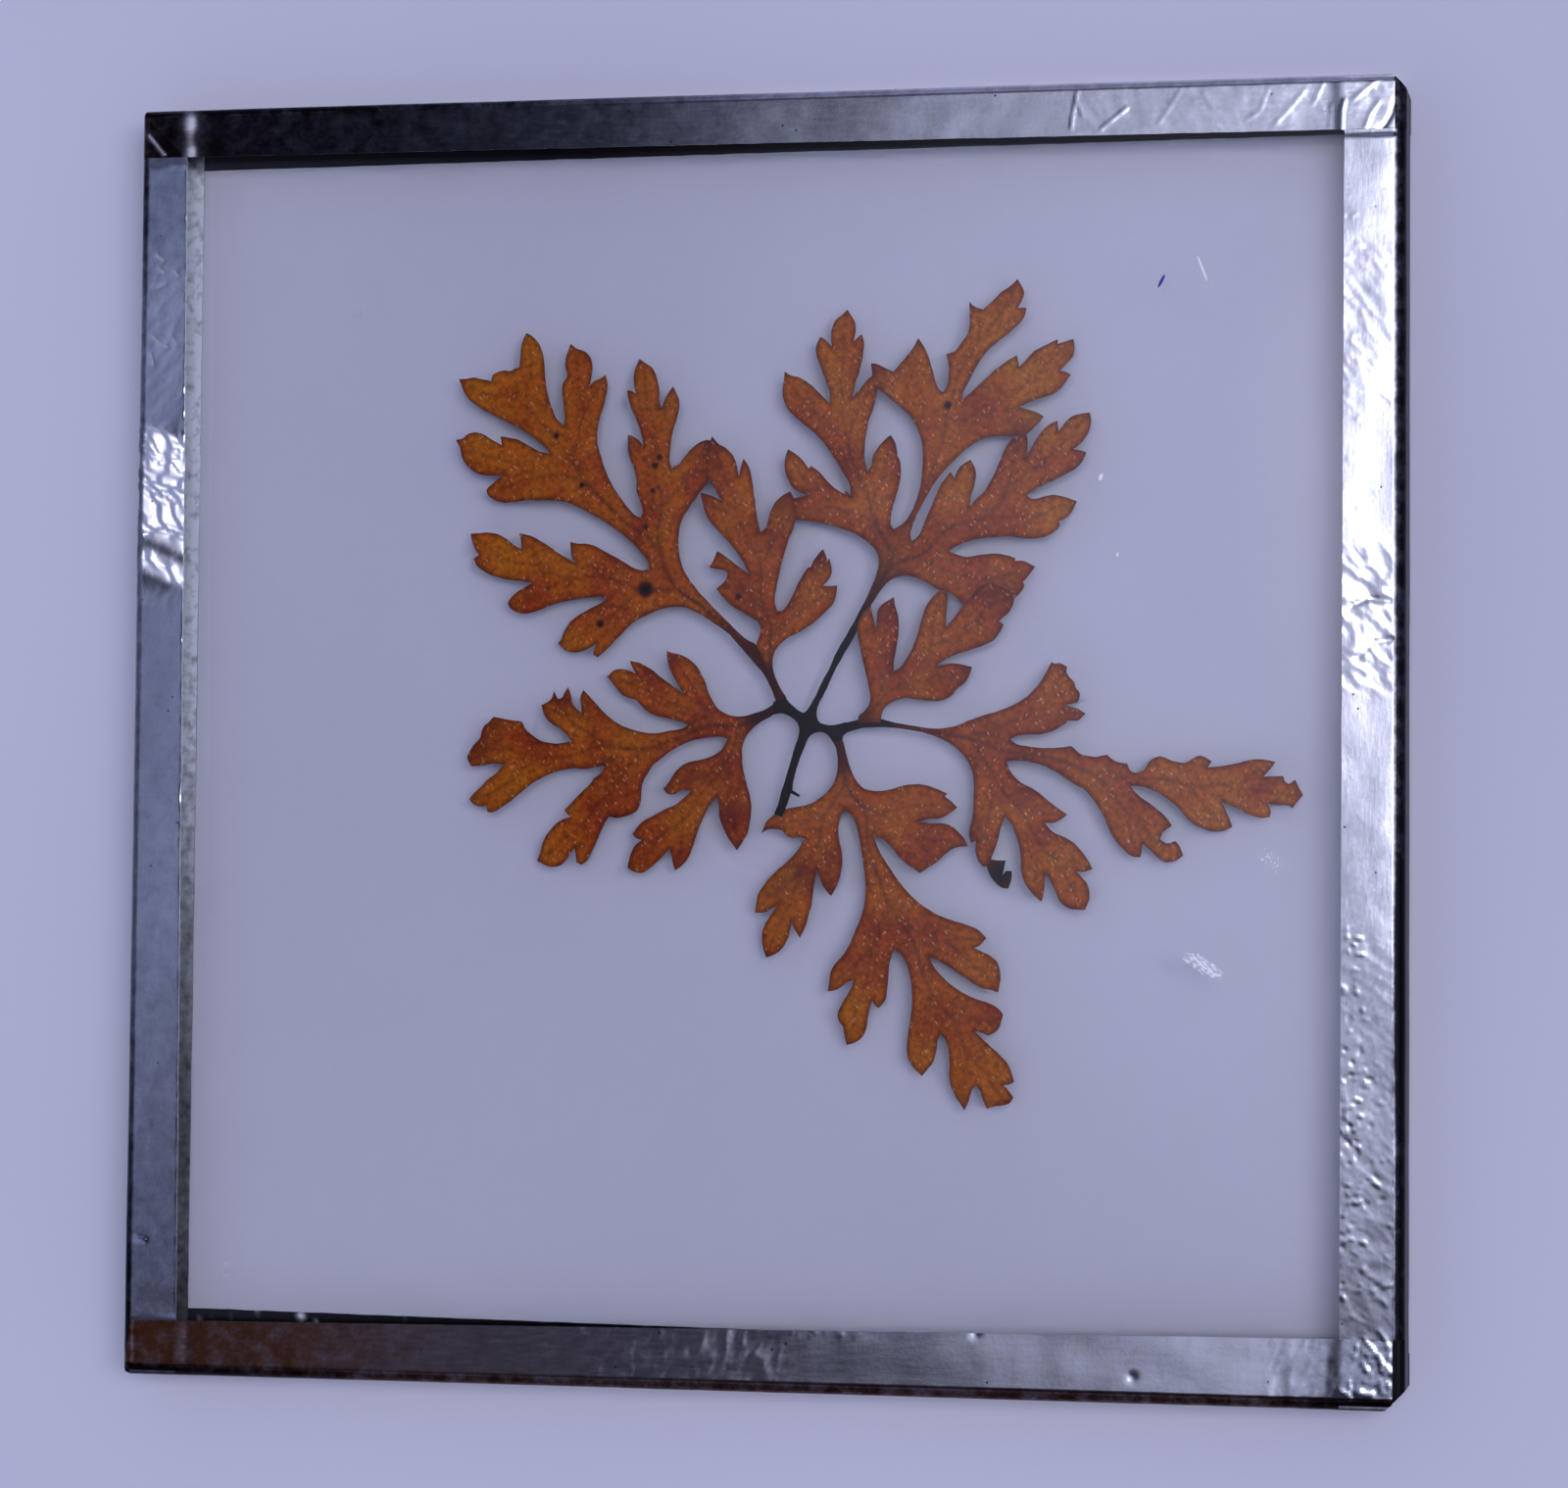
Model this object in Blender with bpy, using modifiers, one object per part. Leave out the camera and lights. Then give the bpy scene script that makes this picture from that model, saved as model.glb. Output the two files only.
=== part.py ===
"""Pressed leaf between two square panes of glass, bound round the edge with strips of metal foil.

The frame lies on its back: the front pane faces +Z, the top of the picture is +Y and its right is +X.
Sizes are in millimetres and are turned into metres where the objects are made.
"""
import math

import bmesh
import bpy
from mathutils import Matrix

for leftover in list(bpy.data.objects):
    bpy.data.objects.remove(leftover, do_unlink=True)

MM = 0.001

# Outer size of the bound frame
HALF_SIDE = 50.0
FOIL_THICKNESS = 0.15
FOIL_CLEARANCE = 0.05
OVERLAP_STEP = 0.2

# Heights of the layers above the plane the frame lies on
BACK_PANE_BOTTOM = OVERLAP_STEP + FOIL_THICKNESS + FOIL_CLEARANCE
PANE_THICKNESS = 2.0
LEAF_SPACE = 0.6
BACK_PANE_TOP = BACK_PANE_BOTTOM + PANE_THICKNESS
FRONT_PANE_BOTTOM = BACK_PANE_TOP + LEAF_SPACE
FRONT_PANE_TOP = FRONT_PANE_BOTTOM + PANE_THICKNESS
FRONT_FLANGE_TOP = FRONT_PANE_TOP + FOIL_CLEARANCE + FOIL_THICKNESS

# Panes, with their edges ground round
HALF_PANE = HALF_SIDE - FOIL_THICKNESS - FOIL_CLEARANCE
GROUND_EDGE = 0.65

# The leaf lies in two layers: the leaflets below, the knot and the two small lobes on top
LEAF_THICKNESS = 0.15
LOWER_LAYER_BOTTOM = BACK_PANE_TOP + 0.1
UPPER_LAYER_BOTTOM = LOWER_LAYER_BOTTOM + LEAF_THICKNESS + 0.1

# Width of each foil strip on the front and on the back, at the start and end of the strip.
# Side strips start at the bottom; the strips along the top and bottom start at the left.
LEFT_FRONT_WIDTH = (4.45, 3.8)
LEFT_BACK_WIDTH = (4.2, 4.1)
RIGHT_FRONT_WIDTH = (4.9, 4.65)
RIGHT_BACK_WIDTH = (3.6, 3.8)
TOP_FRONT_WIDTH = (3.85, 4.25)
TOP_BACK_WIDTH = (4.4, 4.1)
BOTTOM_FRONT_WIDTH = (4.3, 5.4)
BOTTOM_BACK_WIDTH = (5.1, 4.0)

# Radius of the fold where a strip turns from the front to the edge, and from the edge to the back
TIGHT_FOLD = 0.55
WIDE_FOLD = 0.85
BACK_FOLD = 0.5
FOLD_STEPS = 3

# The flat parts of the side strips stop short of the folds of the strips along the top and bottom
HALF_SIDE_STRIP = 49.1

# Where the strips along the top and bottom have finished and begun to climb over each side strip
TOP_STEPS = (-46.1, -45.5, 44.7, 45.2)
BOTTOM_STEPS = (-45.45, -44.85, 44.5, 45.0)

# How much of each corner is blunted, measured along either side
BLUNT_TOP_LEFT = 0.3
BLUNT_TOP_RIGHT = 1.1
BLUNT_BOTTOM_RIGHT = 1.6
BLUNT_BOTTOM_LEFT = 0.45

# Pieces trimmed off the front of the top and bottom strips at their ends
TOP_LEFT_TRIM = [(-47.7, 45.8), (-48.0, 46.2), (-49.5, 47.9), (-49.9, 49.2), (-50.6, 49.2), (-50.6, 45.8)]
TOP_RIGHT_TRIM = [(47.6, 45.3), (48.4, 46.0), (49.3, 47.9), (50.6, 47.9), (50.6, 45.3)]
BOTTOM_LEFT_TRIM = [(-49.0, -45.5), (-49.3, -46.3), (-49.9, -46.8), (-50.6, -46.8), (-50.6, -45.5)]
BOTTOM_RIGHT_TRIM = [(46.8, -44.5), (47.2, -44.9), (49.0, -47.0), (49.6, -48.0), (50.6, -48.0), (50.6, -44.5)]

# Outlines of the pressed leaf in mm, seen from the front, measured from the middle of the frame.
# Every row starts at a sharp point: a tooth's tip or the bottom of a notch.
# Leaf stalk with the knot where the leaflets meet and the cut stubs around it
PETIOLE_OUTLINE = [
    [(1.6, -5.8), (1.92, -5), (2.1, -4.25), (2.33, -3.55), (2.6, -2.65), (2.85, -1.8), (3.08, -1),
     (3.28, -0.35), (3.46, 0.2), (3.53, 0.75), (3.4, 1.15), (3, 1.57), (2.5, 1.83), (2.1, 1.92)],
    [(1.4, 1.82)],
    [(1.4, 2.62)],
    [(1.5, 2.85)],
    [(2.45, 3.1), (2.8, 2.7), (3.2, 2.37), (3.6, 2.08)],
    [(3.88, 1.98), (4.2, 2.28), (4.45, 2.72)],
    [(4.6, 3.02)],
    [(5.12, 2.88), (4.93, 2.35), (4.88, 1.8), (5.08, 1.3), (5.5, 1.1), (6.1, 1.02), (6.65, 1.1)],
    [(7.2, 1.25)],
    [(7.2, 0.42)],
    [(6.97, 0.2)],
    [(6.93, -0.2)],
    [(6.1, -0.2), (5.93, 0.1), (5.6, 0.36), (5.15, 0.5), (4.7, 0.4), (4.33, 0.15), (4.05, -0.4),
     (3.8, -1), (3.5, -1.85), (3.28, -2.5), (3.1, -3.2)],
    [(3.02, -3.98)],
    [(3.66, -4.36)],
    [(3.55, -4.5)],
    [(2.9, -4.2), (2.72, -4.8), (2.5, -5.4)],
    [(2.2, -6.05)],
]

# Leaflet that points to the left
LEAFLET_LEFT_OUTLINE = [
    [(1.36, 2.58), (0.65, 2.2), (-0.08, 1.97), (-0.8, 1.76), (-1.54, 1.72), (-2.28, 1.9), (-2.89, 2.27),
     (-3.37, 2.88), (-3.74, 3.6), (-3.98, 4.34), (-4.29, 4.95), (-4.7, 5.62), (-5.2, 6.1),
     (-5.93, 6.48), (-6.54, 6.62)],
    [(-7.1, 6.8), (-7, 6.05), (-6.78, 5.32), (-6.42, 4.59), (-6.05, 3.98)],
    [(-5.75, 3.5), (-6.3, 3.87), (-7, 4.4), (-7.8, 5), (-8.5, 5.53), (-9.1, 5.83)],
    [(-10.02, 6.05), (-9.83, 5.56)],
    [(-9.53, 5.08), (-10.08, 5.28), (-10.68, 5.42), (-11.2, 5.33)],
    [(-11.8, 4.8), (-11.4, 4.35), (-11, 3.86), (-10.56, 3.37), (-9.95, 3.13), (-9.47, 3), (-9.1, 2.58),
     (-8.55, 2.12), (-7.88, 1.78), (-7.1, 1.6), (-6.2, 1.4)],
    [(-5.3, 1.05), (-5.8, 0.8), (-6.66, 0.63), (-7.64, 0.44), (-8.5, 0.44), (-9.3, 0.58), (-10.1, 0.82),
     (-10.95, 1.2), (-11.7, 1.73), (-12.3, 2.3), (-12.9, 2.95), (-13.3, 3.38)],
    [(-13.73, 3.8), (-13.97, 3.15), (-13.87, 2.54)],
    [(-13.83, 1.95), (-14.25, 2.3), (-14.63, 2.85), (-14.72, 3.4)],
    [(-14.93, 4.03), (-15.25, 3.55), (-15.45, 3.2)],
    [(-15.78, 3.1)],
    [(-16.08, 3.73), (-16.28, 3.15), (-16.65, 2.82)],
    [(-17.07, 2.6), (-16.9, 2.03), (-16.6, 1.5), (-16.08, 1.1), (-15.46, 0.7), (-14.97, 0.25)],
    [(-14.6, -0.18), (-15.15, -0.33), (-15.8, -0.38), (-16.5, -0.32), (-17.15, -0.12), (-17.75, 0.25),
     (-18.25, 0.66), (-18.5, 1.05)],
    [(-18.7, 1.37), (-19.5, 1.43), (-20.2, 1.57)],
    [(-20.92, 1.68), (-21.3, 1.3), (-21.7, 0.98), (-21.9, 0.5), (-22, 0.05), (-22.45, -0.42),
     (-22.8, -0.95)],
    [(-23, -1.4), (-22.87, -1.85)],
    [(-22.68, -2.15), (-22, -2.12), (-21.3, -2.02), (-20.65, -1.97)],
    [(-20.08, -2.02), (-20.6, -2.6), (-21.2, -3.08), (-21.75, -3.6), (-22.2, -4.05), (-22.55, -4.38)],
    [(-22.82, -4.75), (-22.45, -5.12), (-21.95, -5.3)],
    [(-21.42, -5.2)],
    [(-21.33, -5.73), (-20.9, -5.77), (-20.35, -5.45), (-19.75, -5.08), (-19.1, -4.57), (-18.4, -4),
     (-17.7, -3.45), (-17, -3.05), (-16.2, -2.7), (-15.4, -2.45), (-14.5, -2.32), (-13.5, -2.35),
     (-12.7, -2.2)],
    [(-11.95, -2.12), (-12.2, -2.65), (-12.75, -3.08), (-13.15, -3.6), (-13.75, -4.15),
     (-14.35, -4.75)],
    [(-15.12, -5.57), (-14.9, -5.85)],
    [(-14.62, -6.08), (-15.3, -6.3), (-15.9, -6.75), (-16.4, -7.3), (-16.8, -8), (-17, -8.75)],
    [(-17.28, -9.52), (-16.8, -9.77), (-16.1, -9.98), (-15.45, -9.87), (-14.95, -9.45),
     (-14.55, -8.85)],
    [(-14.27, -8.5), (-14.18, -9.05)],
    [(-14.08, -9.62), (-13.72, -9.78), (-13.3, -9.48), (-12.9, -8.75), (-12.5, -7.95), (-12.15, -7.1),
     (-11.85, -6.45)],
    [(-11.55, -6.05), (-10.93, -6.15), (-10.2, -6), (-9.5, -5.72)],
    [(-9.15, -5.3), (-9.03, -4.4), (-8.92, -3.58), (-8.6, -2.85), (-8.1, -2.1), (-7.4, -1.5),
     (-6.66, -0.96), (-5.8, -0.47), (-4.96, -0.14), (-3.98, 0.05), (-3, 0.14)],
    [(-2.2, 0.02), (-2.4, -0.47), (-2.76, -0.96), (-3.5, -1.38), (-4.3, -1.63), (-5.1, -1.8),
     (-5.8, -2.1), (-6.36, -2.66), (-6.78, -3.33)],
    [(-7.22, -3.88), (-6.9, -4.25), (-6.36, -4.3), (-5.9, -4.05), (-5.45, -3.98)],
    [(-5.05, -4.05), (-5.57, -4.55), (-6.18, -5.04), (-7.03, -5.47), (-8, -5.95), (-8.86, -6.44),
     (-9.34, -6.93)],
    [(-9.67, -7.42), (-9.34, -7.72)],
    [(-8.92, -7.84), (-9.47, -8.33), (-9.8, -8.95), (-9.92, -9.5)],
    [(-10.03, -10), (-9.5, -10.33), (-8.86, -10.4), (-8.25, -10.04), (-7.64, -9.49), (-7.05, -8.88)],
    [(-6.7, -8.5), (-6.54, -9.06), (-6.42, -9.67)],
    [(-6.24, -10.22), (-5.69, -9.8), (-5.2, -9.18), (-4.84, -8.33), (-4.53, -7.35), (-4.2, -6.45),
     (-3.8, -5.65), (-3.35, -4.9)],
    [(-2.98, -4.5), (-2.82, -5.16), (-2.76, -6), (-2.46, -6.87), (-2, -7.75)],
    [(-1.36, -8.65), (-1, -8.09), (-0.57, -7.35), (-0.38, -6.62), (-0.28, -5.8)],
    [(-0.25, -5.15), (-0.43, -4.19), (-0.69, -3.33), (-0.94, -2.36), (-1.03, -1.5), (-1, -0.65),
     (-0.7, 0.2), (-0.2, 0.78), (0.4, 1.25), (0.95, 1.55)],
    [(1.36, 1.78)],
]

# Leaflet that spreads to the upper left
LEAFLET_UPPER_LEFT_OUTLINE = [
    [(1.48, 2.93), (1.22, 3.8), (0.68, 4.9), (-0.3, 6.03), (-1.15, 7), (-2.3, 8.22), (-3.3, 8.9),
     (-4.55, 9.72), (-5.9, 10.2), (-7.2, 10.15), (-8.4, 9.73), (-9.85, 8.97), (-11, 7.83), (-12, 6.83),
     (-12.6, 6.33), (-12.97, 6.55), (-12.92, 6.9)],
    [(-12.72, 7.44), (-13.3, 7.08), (-14, 6.78), (-14.6, 6.72), (-15.2, 6.88), (-15.58, 7.18)],
    [(-15.78, 7.42), (-15.5, 7.85), (-15.3, 8.35), (-14.9, 9), (-14.2, 9.6), (-13.2, 10.15),
     (-12.4, 10.55)],
    [(-11.93, 10.8), (-12.25, 11.03), (-13, 11.03), (-14.3, 10.9), (-15.7, 10.63), (-17, 10.17),
     (-17.75, 9.9), (-18.4, 9.77), (-19.1, 9.87), (-19.65, 10.2), (-19.9, 10.6), (-19.7, 10.97),
     (-19.2, 11.42), (-18.5, 11.85)],
    [(-17.9, 12.15), (-18.8, 12.33), (-20, 12.45), (-21.1, 12.77), (-21.9, 13.12), (-22.45, 13.6)],
    [(-22.7, 14.1)],
    [(-22.28, 14.4), (-22.6, 14.9), (-22.85, 15.5)],
    [(-22.97, 16.08), (-22.3, 16.13), (-21.5, 16.16), (-20.8, 16.03), (-20.1, 15.67), (-19.4, 15.13)],
    [(-18.8, 14.78), (-18.83, 15.2), (-18.92, 15.7)],
    [(-19.03, 16.06), (-18.3, 15.92), (-17.5, 15.57), (-16.5, 14.95), (-15.5, 14.27)],
    [(-14.5, 13.7), (-14.75, 14.3), (-14.85, 14.9)],
    [(-14.9, 15.37), (-14.3, 15.22), (-13.5, 15.2), (-12.9, 15), (-12, 14.53), (-10.9, 13.95),
     (-10.1, 13.45), (-9.5, 13.17), (-8.95, 13.08), (-8.6, 13.22), (-8.55, 13.5), (-8.8, 13.95),
     (-9.5, 14.8), (-10.4, 15.65), (-11.4, 16.42), (-12.5, 17.07), (-13.6, 17.72), (-14.7, 18.25),
     (-15.8, 18.55), (-17.2, 18.62), (-18.5, 18.63), (-19.7, 18.52), (-20.5, 18.5), (-21.2, 18.77),
     (-21.63, 19.2), (-21.68, 19.55), (-21.4, 19.87), (-20.95, 20.25)],
    [(-20.4, 20.6), (-21.2, 20.62), (-22.2, 20.73), (-22.9, 21.05), (-23.45, 21.6), (-23.8, 22.25),
     (-23.93, 22.9)],
    [(-24.25, 23.5), (-23.75, 23.57), (-23.3, 23.92), (-22.7, 24.06), (-22.1, 23.92), (-21.4, 23.5)],
    [(-20.53, 23)],
    [(-20.62, 23.7), (-19.9, 23.6), (-19.2, 23.42), (-18.3, 22.95), (-17.4, 22.47)],
    [(-16.6, 22.3), (-17, 22.82), (-17.8, 23.45), (-18.8, 24.12), (-20, 24.77), (-21.3, 25.4),
     (-22.4, 26.02), (-23.2, 26.6), (-23.65, 27.25), (-23.87, 27.75)],
    [(-24.08, 28.27), (-23.5, 28.28), (-22.9, 28.38), (-22.2, 28.23)],
    [(-21.42, 28.06), (-21.35, 28.5), (-21, 28.73), (-20.45, 28.9), (-19.9, 28.85), (-19.5, 29.03)],
    [(-19.17, 29.1), (-19.13, 29.7), (-19.08, 30.5), (-18.97, 31.15)],
    [(-18.62, 31.82), (-18.15, 31.55), (-17.75, 31.15), (-17.43, 30.55), (-17.22, 29.9), (-17.12, 28.9),
     (-17.05, 28), (-16.85, 27), (-16.5, 25.85), (-16.1, 25)],
    [(-15.52, 24.5), (-15.45, 25.1), (-15.57, 26), (-15.67, 27), (-15.62, 27.8)],
    [(-15.3, 28.42), (-15.43, 29), (-15.45, 29.6), (-15.3, 30.2)],
    [(-15.05, 30.9), (-14.5, 30.5), (-14, 30.33), (-13.6, 30.02), (-13.33, 29.5), (-13.27, 28.9),
     (-13.35, 28.3)],
    [(-13.45, 27.6), (-13.15, 27.9), (-12.7, 28.1)],
    [(-12.18, 28.42), (-12.05, 27.8), (-12.1, 27), (-12.35, 25.9), (-12.65, 25), (-12.82, 24),
     (-12.8, 23.1), (-12.5, 22), (-12.1, 20.85), (-11.5, 19.65), (-10.8, 18.65), (-10.1, 17.75),
     (-9.65, 17.35), (-9.3, 17.22), (-9.13, 17.5), (-9.2, 18.1), (-9.45, 18.75), (-9.62, 19.4),
     (-9.63, 20.2), (-9.85, 21), (-10.15, 21.8), (-10.35, 22.6)],
    [(-10.33, 23.7), (-9.85, 23.5), (-9.45, 23.2)],
    [(-9.08, 22.75), (-9.17, 23.3), (-9.4, 24.1), (-9.8, 25.05), (-10.2, 26), (-10.4, 26.7)],
    [(-10.43, 27.2), (-10.1, 27.12)],
    [(-9.75, 26.9), (-9.9, 27.6), (-9.93, 28.3), (-9.8, 28.9)],
    [(-9.47, 29.6), (-9, 29.27), (-8.5, 28.93), (-8.18, 28.4), (-8, 27.8), (-7.88, 27), (-7.85, 26.2)],
    [(-7.72, 25.72), (-7.5, 26.2), (-7.25, 26.75)],
    [(-6.78, 27.42), (-6.5, 26.85), (-6.3, 26.3), (-6.3, 25.6), (-6.45, 24.9), (-6.7, 24.15),
     (-6.87, 23.3), (-6.97, 22.4), (-7, 21.6)],
    [(-6.82, 20.98), (-6.3, 21.33), (-5.8, 21.9), (-5.3, 22.5), (-4.7, 22.95), (-4.05, 23.2)],
    [(-3.5, 22.95), (-3.2, 22.4), (-3.17, 21.7), (-3.35, 21), (-3.7, 20.3), (-4.2, 19.6), (-4.8, 18.8),
     (-5.45, 17.9), (-5.95, 17), (-6.2, 16), (-6.23, 15), (-6.1, 14), (-5.75, 13), (-5.2, 12.15),
     (-4.4, 11.2), (-3.3, 10.1), (-2.3, 9.1), (-1.3, 8.13), (-0.55, 7.55)],
    [(-0.05, 7.3), (0.35, 6.6), (0.9, 5.75), (1.42, 5.1), (1.6, 4.6), (1.92, 3.92)],
    [(2.42, 3.2)],
]

# Small lobe that lies over the foot of the upper left leaflet
LEAFLET_UPPER_LEFT_INNER_OUTLINE = [
    [(1.05, 4.95), (0.85, 5.6), (0.5, 6.4), (0.12, 7.2), (0.3, 7.85), (0.43, 8.35), (0.25, 8.9),
     (-0.3, 9.33), (-1.1, 9.78), (-1.9, 10.27), (-2.5, 10.87)],
    [(-3.1, 11.58), (-2.7, 11.93), (-2.35, 12.35), (-2.25, 12.8), (-2.5, 13.03), (-3, 13.07)],
    [(-3.7, 13.25), (-3.35, 13.85)],
    [(-3.08, 14.52), (-2.4, 14.08), (-1.6, 13.45)],
    [(-0.55, 12.72), (-0.8, 13.25), (-1.3, 14.1), (-2.1, 15.1), (-3.1, 16.15), (-3.85, 17.05),
     (-4.2, 17.85)],
    [(-4.45, 19.07), (-3.85, 18.92), (-3.3, 18.7)],
    [(-2.75, 18.42), (-3.3, 19.35), (-3.85, 20.25), (-4.05, 21.2), (-3.95, 22.2)],
    [(-3.58, 23.45), (-3.1, 22.9), (-2.4, 22.45), (-1.95, 22), (-1.65, 21.3)],
    [(-1.45, 20.3), (-1.27, 21)],
    [(-1.07, 21.68), (-0.7, 21.15), (-0.42, 20.2), (-0.22, 19), (-0.02, 17.6), (0.12, 16.7)],
    [(0.35, 15.95), (0.7, 16.3), (0.95, 17), (1.2, 17.75), (1.6, 18.4), (2.05, 18.78)],
    [(2.65, 19.1), (2.97, 18.5), (3.12, 17.6), (3, 16.5), (2.55, 15.3), (2.15, 14), (1.82, 12.6),
     (1.57, 11.3), (1.53, 10.4), (1.72, 9.88), (2.05, 9.82), (2.45, 10.2), (2.9, 11.1), (3.35, 12),
     (3.75, 12.7)],
    [(4.1, 13.2), (4.3, 13.2), (4.55, 13.75), (4.85, 14.15)],
    [(5.26, 14.6), (5.5, 14.05)],
    [(5.6, 13.65)],
    [(5.75, 13.87), (5.96, 13.1), (5.9, 12.55), (5.6, 12.1)],
    [(5.3, 11.75), (5.85, 11.72)],
    [(6.4, 11.8), (6.33, 11.1), (6.1, 10.4), (5.55, 9.8), (4.9, 9.2), (4.1, 8.57), (3.2, 8.07),
     (2.45, 7.67), (1.85, 7.15), (1.5, 6.55), (1.37, 5.7)],
    [(1.5, 4.95)],
]

# Leaflet that spreads to the upper right, with the two gaps its folded lobes enclose
LEAFLET_UPPER_RIGHT_OUTLINE = [
    [(4.6, 3), (4.83, 3.5), (5.17, 4.25), (5.83, 5.5), (6.28, 6.54), (7.18, 8.08), (7.95, 9.5),
     (8.6, 10.7), (9.1, 11.8), (9.45, 12.7), (9.6, 13.6), (9.35, 14.5), (8.8, 15.05), (8.2, 15.5),
     (7.2, 16), (6.1, 16.37), (5.1, 16.6), (4.1, 16.8), (3.2, 16.92), (2.5, 17.35)],
    [(1.95, 18.05), (2.5, 18.5), (3.2, 18.62)],
    [(3.97, 18.83), (3.4, 19), (2.85, 19.35), (2.45, 19.95), (2.2, 20.6), (2.13, 21.4)],
    [(2.37, 22.4), (2.95, 22.05), (3.5, 21.55)],
    [(4.03, 20.88)],
    [(4.22, 21.07), (4.8, 20.65), (5.5, 19.9), (6.3, 19.2)],
    [(6.88, 18.82)],
    [(7, 19.12)],
    [(7.35, 18.72), (7.3, 19.5), (6.6, 20.75), (5.8, 22), (4.8, 23.3), (3.7, 24.25), (2.8, 25),
     (2.2, 25.75), (1.95, 26.6), (1.97, 27.4)],
    [(2.08, 28.42), (2.6, 28.1), (3.3, 27.93), (4.2, 27.33), (4.95, 26.6)],
    [(5.68, 25.85), (5.65, 26.7), (5.3, 27.75), (4.9, 28.75), (4.6, 29.65), (4.55, 30.3)],
    [(4.86, 31.1), (5.3, 30.78)],
    [(5.76, 30.3), (5.73, 31), (5.8, 31.8), (6.15, 32.45), (6.6, 32.77)],
    [(6.97, 33.15), (7.3, 32.65), (7.6, 32.1), (7.65, 31.4)],
    [(7.5, 30.7)],
    [(8.13, 31.2), (8.33, 30.5), (8.25, 29.6), (8, 28.5), (7.65, 27.4)],
    [(7.42, 26.3), (7.95, 26.9), (8.45, 27.5)],
    [(8.95, 27.95), (8.93, 28.4)],
    [(8.9, 28.95), (9.4, 28.87), (10, 28.57)],
    [(10.62, 28.25), (11.3, 29.05), (12, 29.85)],
    [(12.58, 30.83), (12.98, 30.25), (13.4, 29.3), (13.7, 28.3), (14, 27.3), (14.25, 26.75),
     (14.5, 26.6), (14.77, 26.95), (14.95, 27.8), (14.93, 28.8)],
    [(14.78, 29.55), (15.4, 29.75), (15.9, 30.4), (16.4, 31.1), (16.58, 32), (16.55, 32.8)],
    [(16.55, 33.6), (16.85, 33.25)],
    [(17.6, 32.95), (18.3, 33.55), (19, 34.25), (19.7, 34.73)],
    [(20.27, 35.25), (20.55, 34.75), (20.77, 34.25), (20.65, 33.7)],
    [(20.3, 33.02)],
    [(20.95, 33), (20.85, 32.4), (20.4, 31.8), (19.6, 31.12), (18.6, 30.33), (17.8, 29.6),
     (17.15, 28.5), (16.5, 27.4), (16.1, 26.55)],
    [(16.05, 26), (16.9, 26.75), (17.7, 27.5), (18.6, 28.3), (19.5, 28.93)],
    [(20.23, 29.38), (20.34, 28.85)],
    [(20.4, 28.45), (21, 29.05), (21.6, 29.68), (22.4, 30.08)],
    [(23.37, 30.55)],
    [(23.38, 30.18), (23.9, 30.35)],
    [(24.6, 30.55), (24.7, 29.9), (24.55, 29.2), (24.1, 28.67)],
    [(23.55, 28.15), (23.95, 28.02)],
    [(24.4, 27.82), (24.1, 27.35), (23.6, 26.72), (22.9, 26.3), (21.9, 26)],
    [(20.4, 25.4), (21.1, 25.18), (21.8, 24.97)],
    [(22.35, 24.65), (22, 24.2), (21.5, 23.7)],
    [(21.05, 23.3), (21.13, 22.7), (21.05, 22)],
    [(20.92, 21.45), (21.25, 22), (21.7, 22.75), (22.2, 23.5), (22.8, 24)],
    [(23.4, 24.3), (23.46, 23.8)],
    [(23.5, 23.45), (23.95, 24.05), (24.5, 24.6), (25.2, 24.78)],
    [(25.9, 24.87), (26, 24.2), (25.85, 23.5), (25.4, 22.75), (24.95, 22.3)],
    [(24.6, 22.08), (25.1, 22)],
    [(25.65, 21.85), (25.46, 21.35), (25.1, 20.85), (24.3, 20.3), (23.4, 19.83), (22.5, 19.48),
     (21.7, 19.03)],
    [(21.08, 18.58), (21.35, 18.37), (21.9, 18.35), (22.5, 18.5), (23.2, 18.6), (24, 18.43)],
    [(24.93, 18.1), (24.7, 17.6), (24.4, 17.1), (23.95, 16.75)],
    [(23.55, 16.6)],
    [(23.6, 16.22), (23.3, 15.85), (22.8, 15.52), (22.1, 15.33), (21, 15.3), (19.8, 15.45),
     (18.5, 15.42), (17.2, 15.27), (16.2, 15), (15.5, 14.68)],
    [(15.07, 14.37), (15.7, 14.08), (16.5, 13.93), (17.5, 14.08), (18.5, 14.15), (19.4, 14.05)],
    [(20.22, 13.8)],
    [(20.2, 13.6), (20.8, 13.58), (21.3, 13.35)],
    [(21.73, 13.15), (21.35, 12.6)],
    [(20.8, 11.95)],
    [(20.9, 11.7), (20.75, 11.35), (20.4, 11), (19.9, 10.5), (19.3, 10.13), (18.6, 9.9), (17.8, 9.87),
     (17, 10), (16.3, 10.25), (15.7, 10.73), (15.05, 11.2), (14.3, 11.43), (13.6, 11.82), (12.7, 12.28),
     (11.8, 12.52), (11.1, 12.45), (10.5, 12.15), (9.95, 11.65), (9.45, 10.95), (9, 10.2), (8.4, 9.1),
     (7.9, 8.2), (7.2, 6.95), (6.4, 5.55), (5.67, 4)],
    [(5.1, 2.9)],
]

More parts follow.
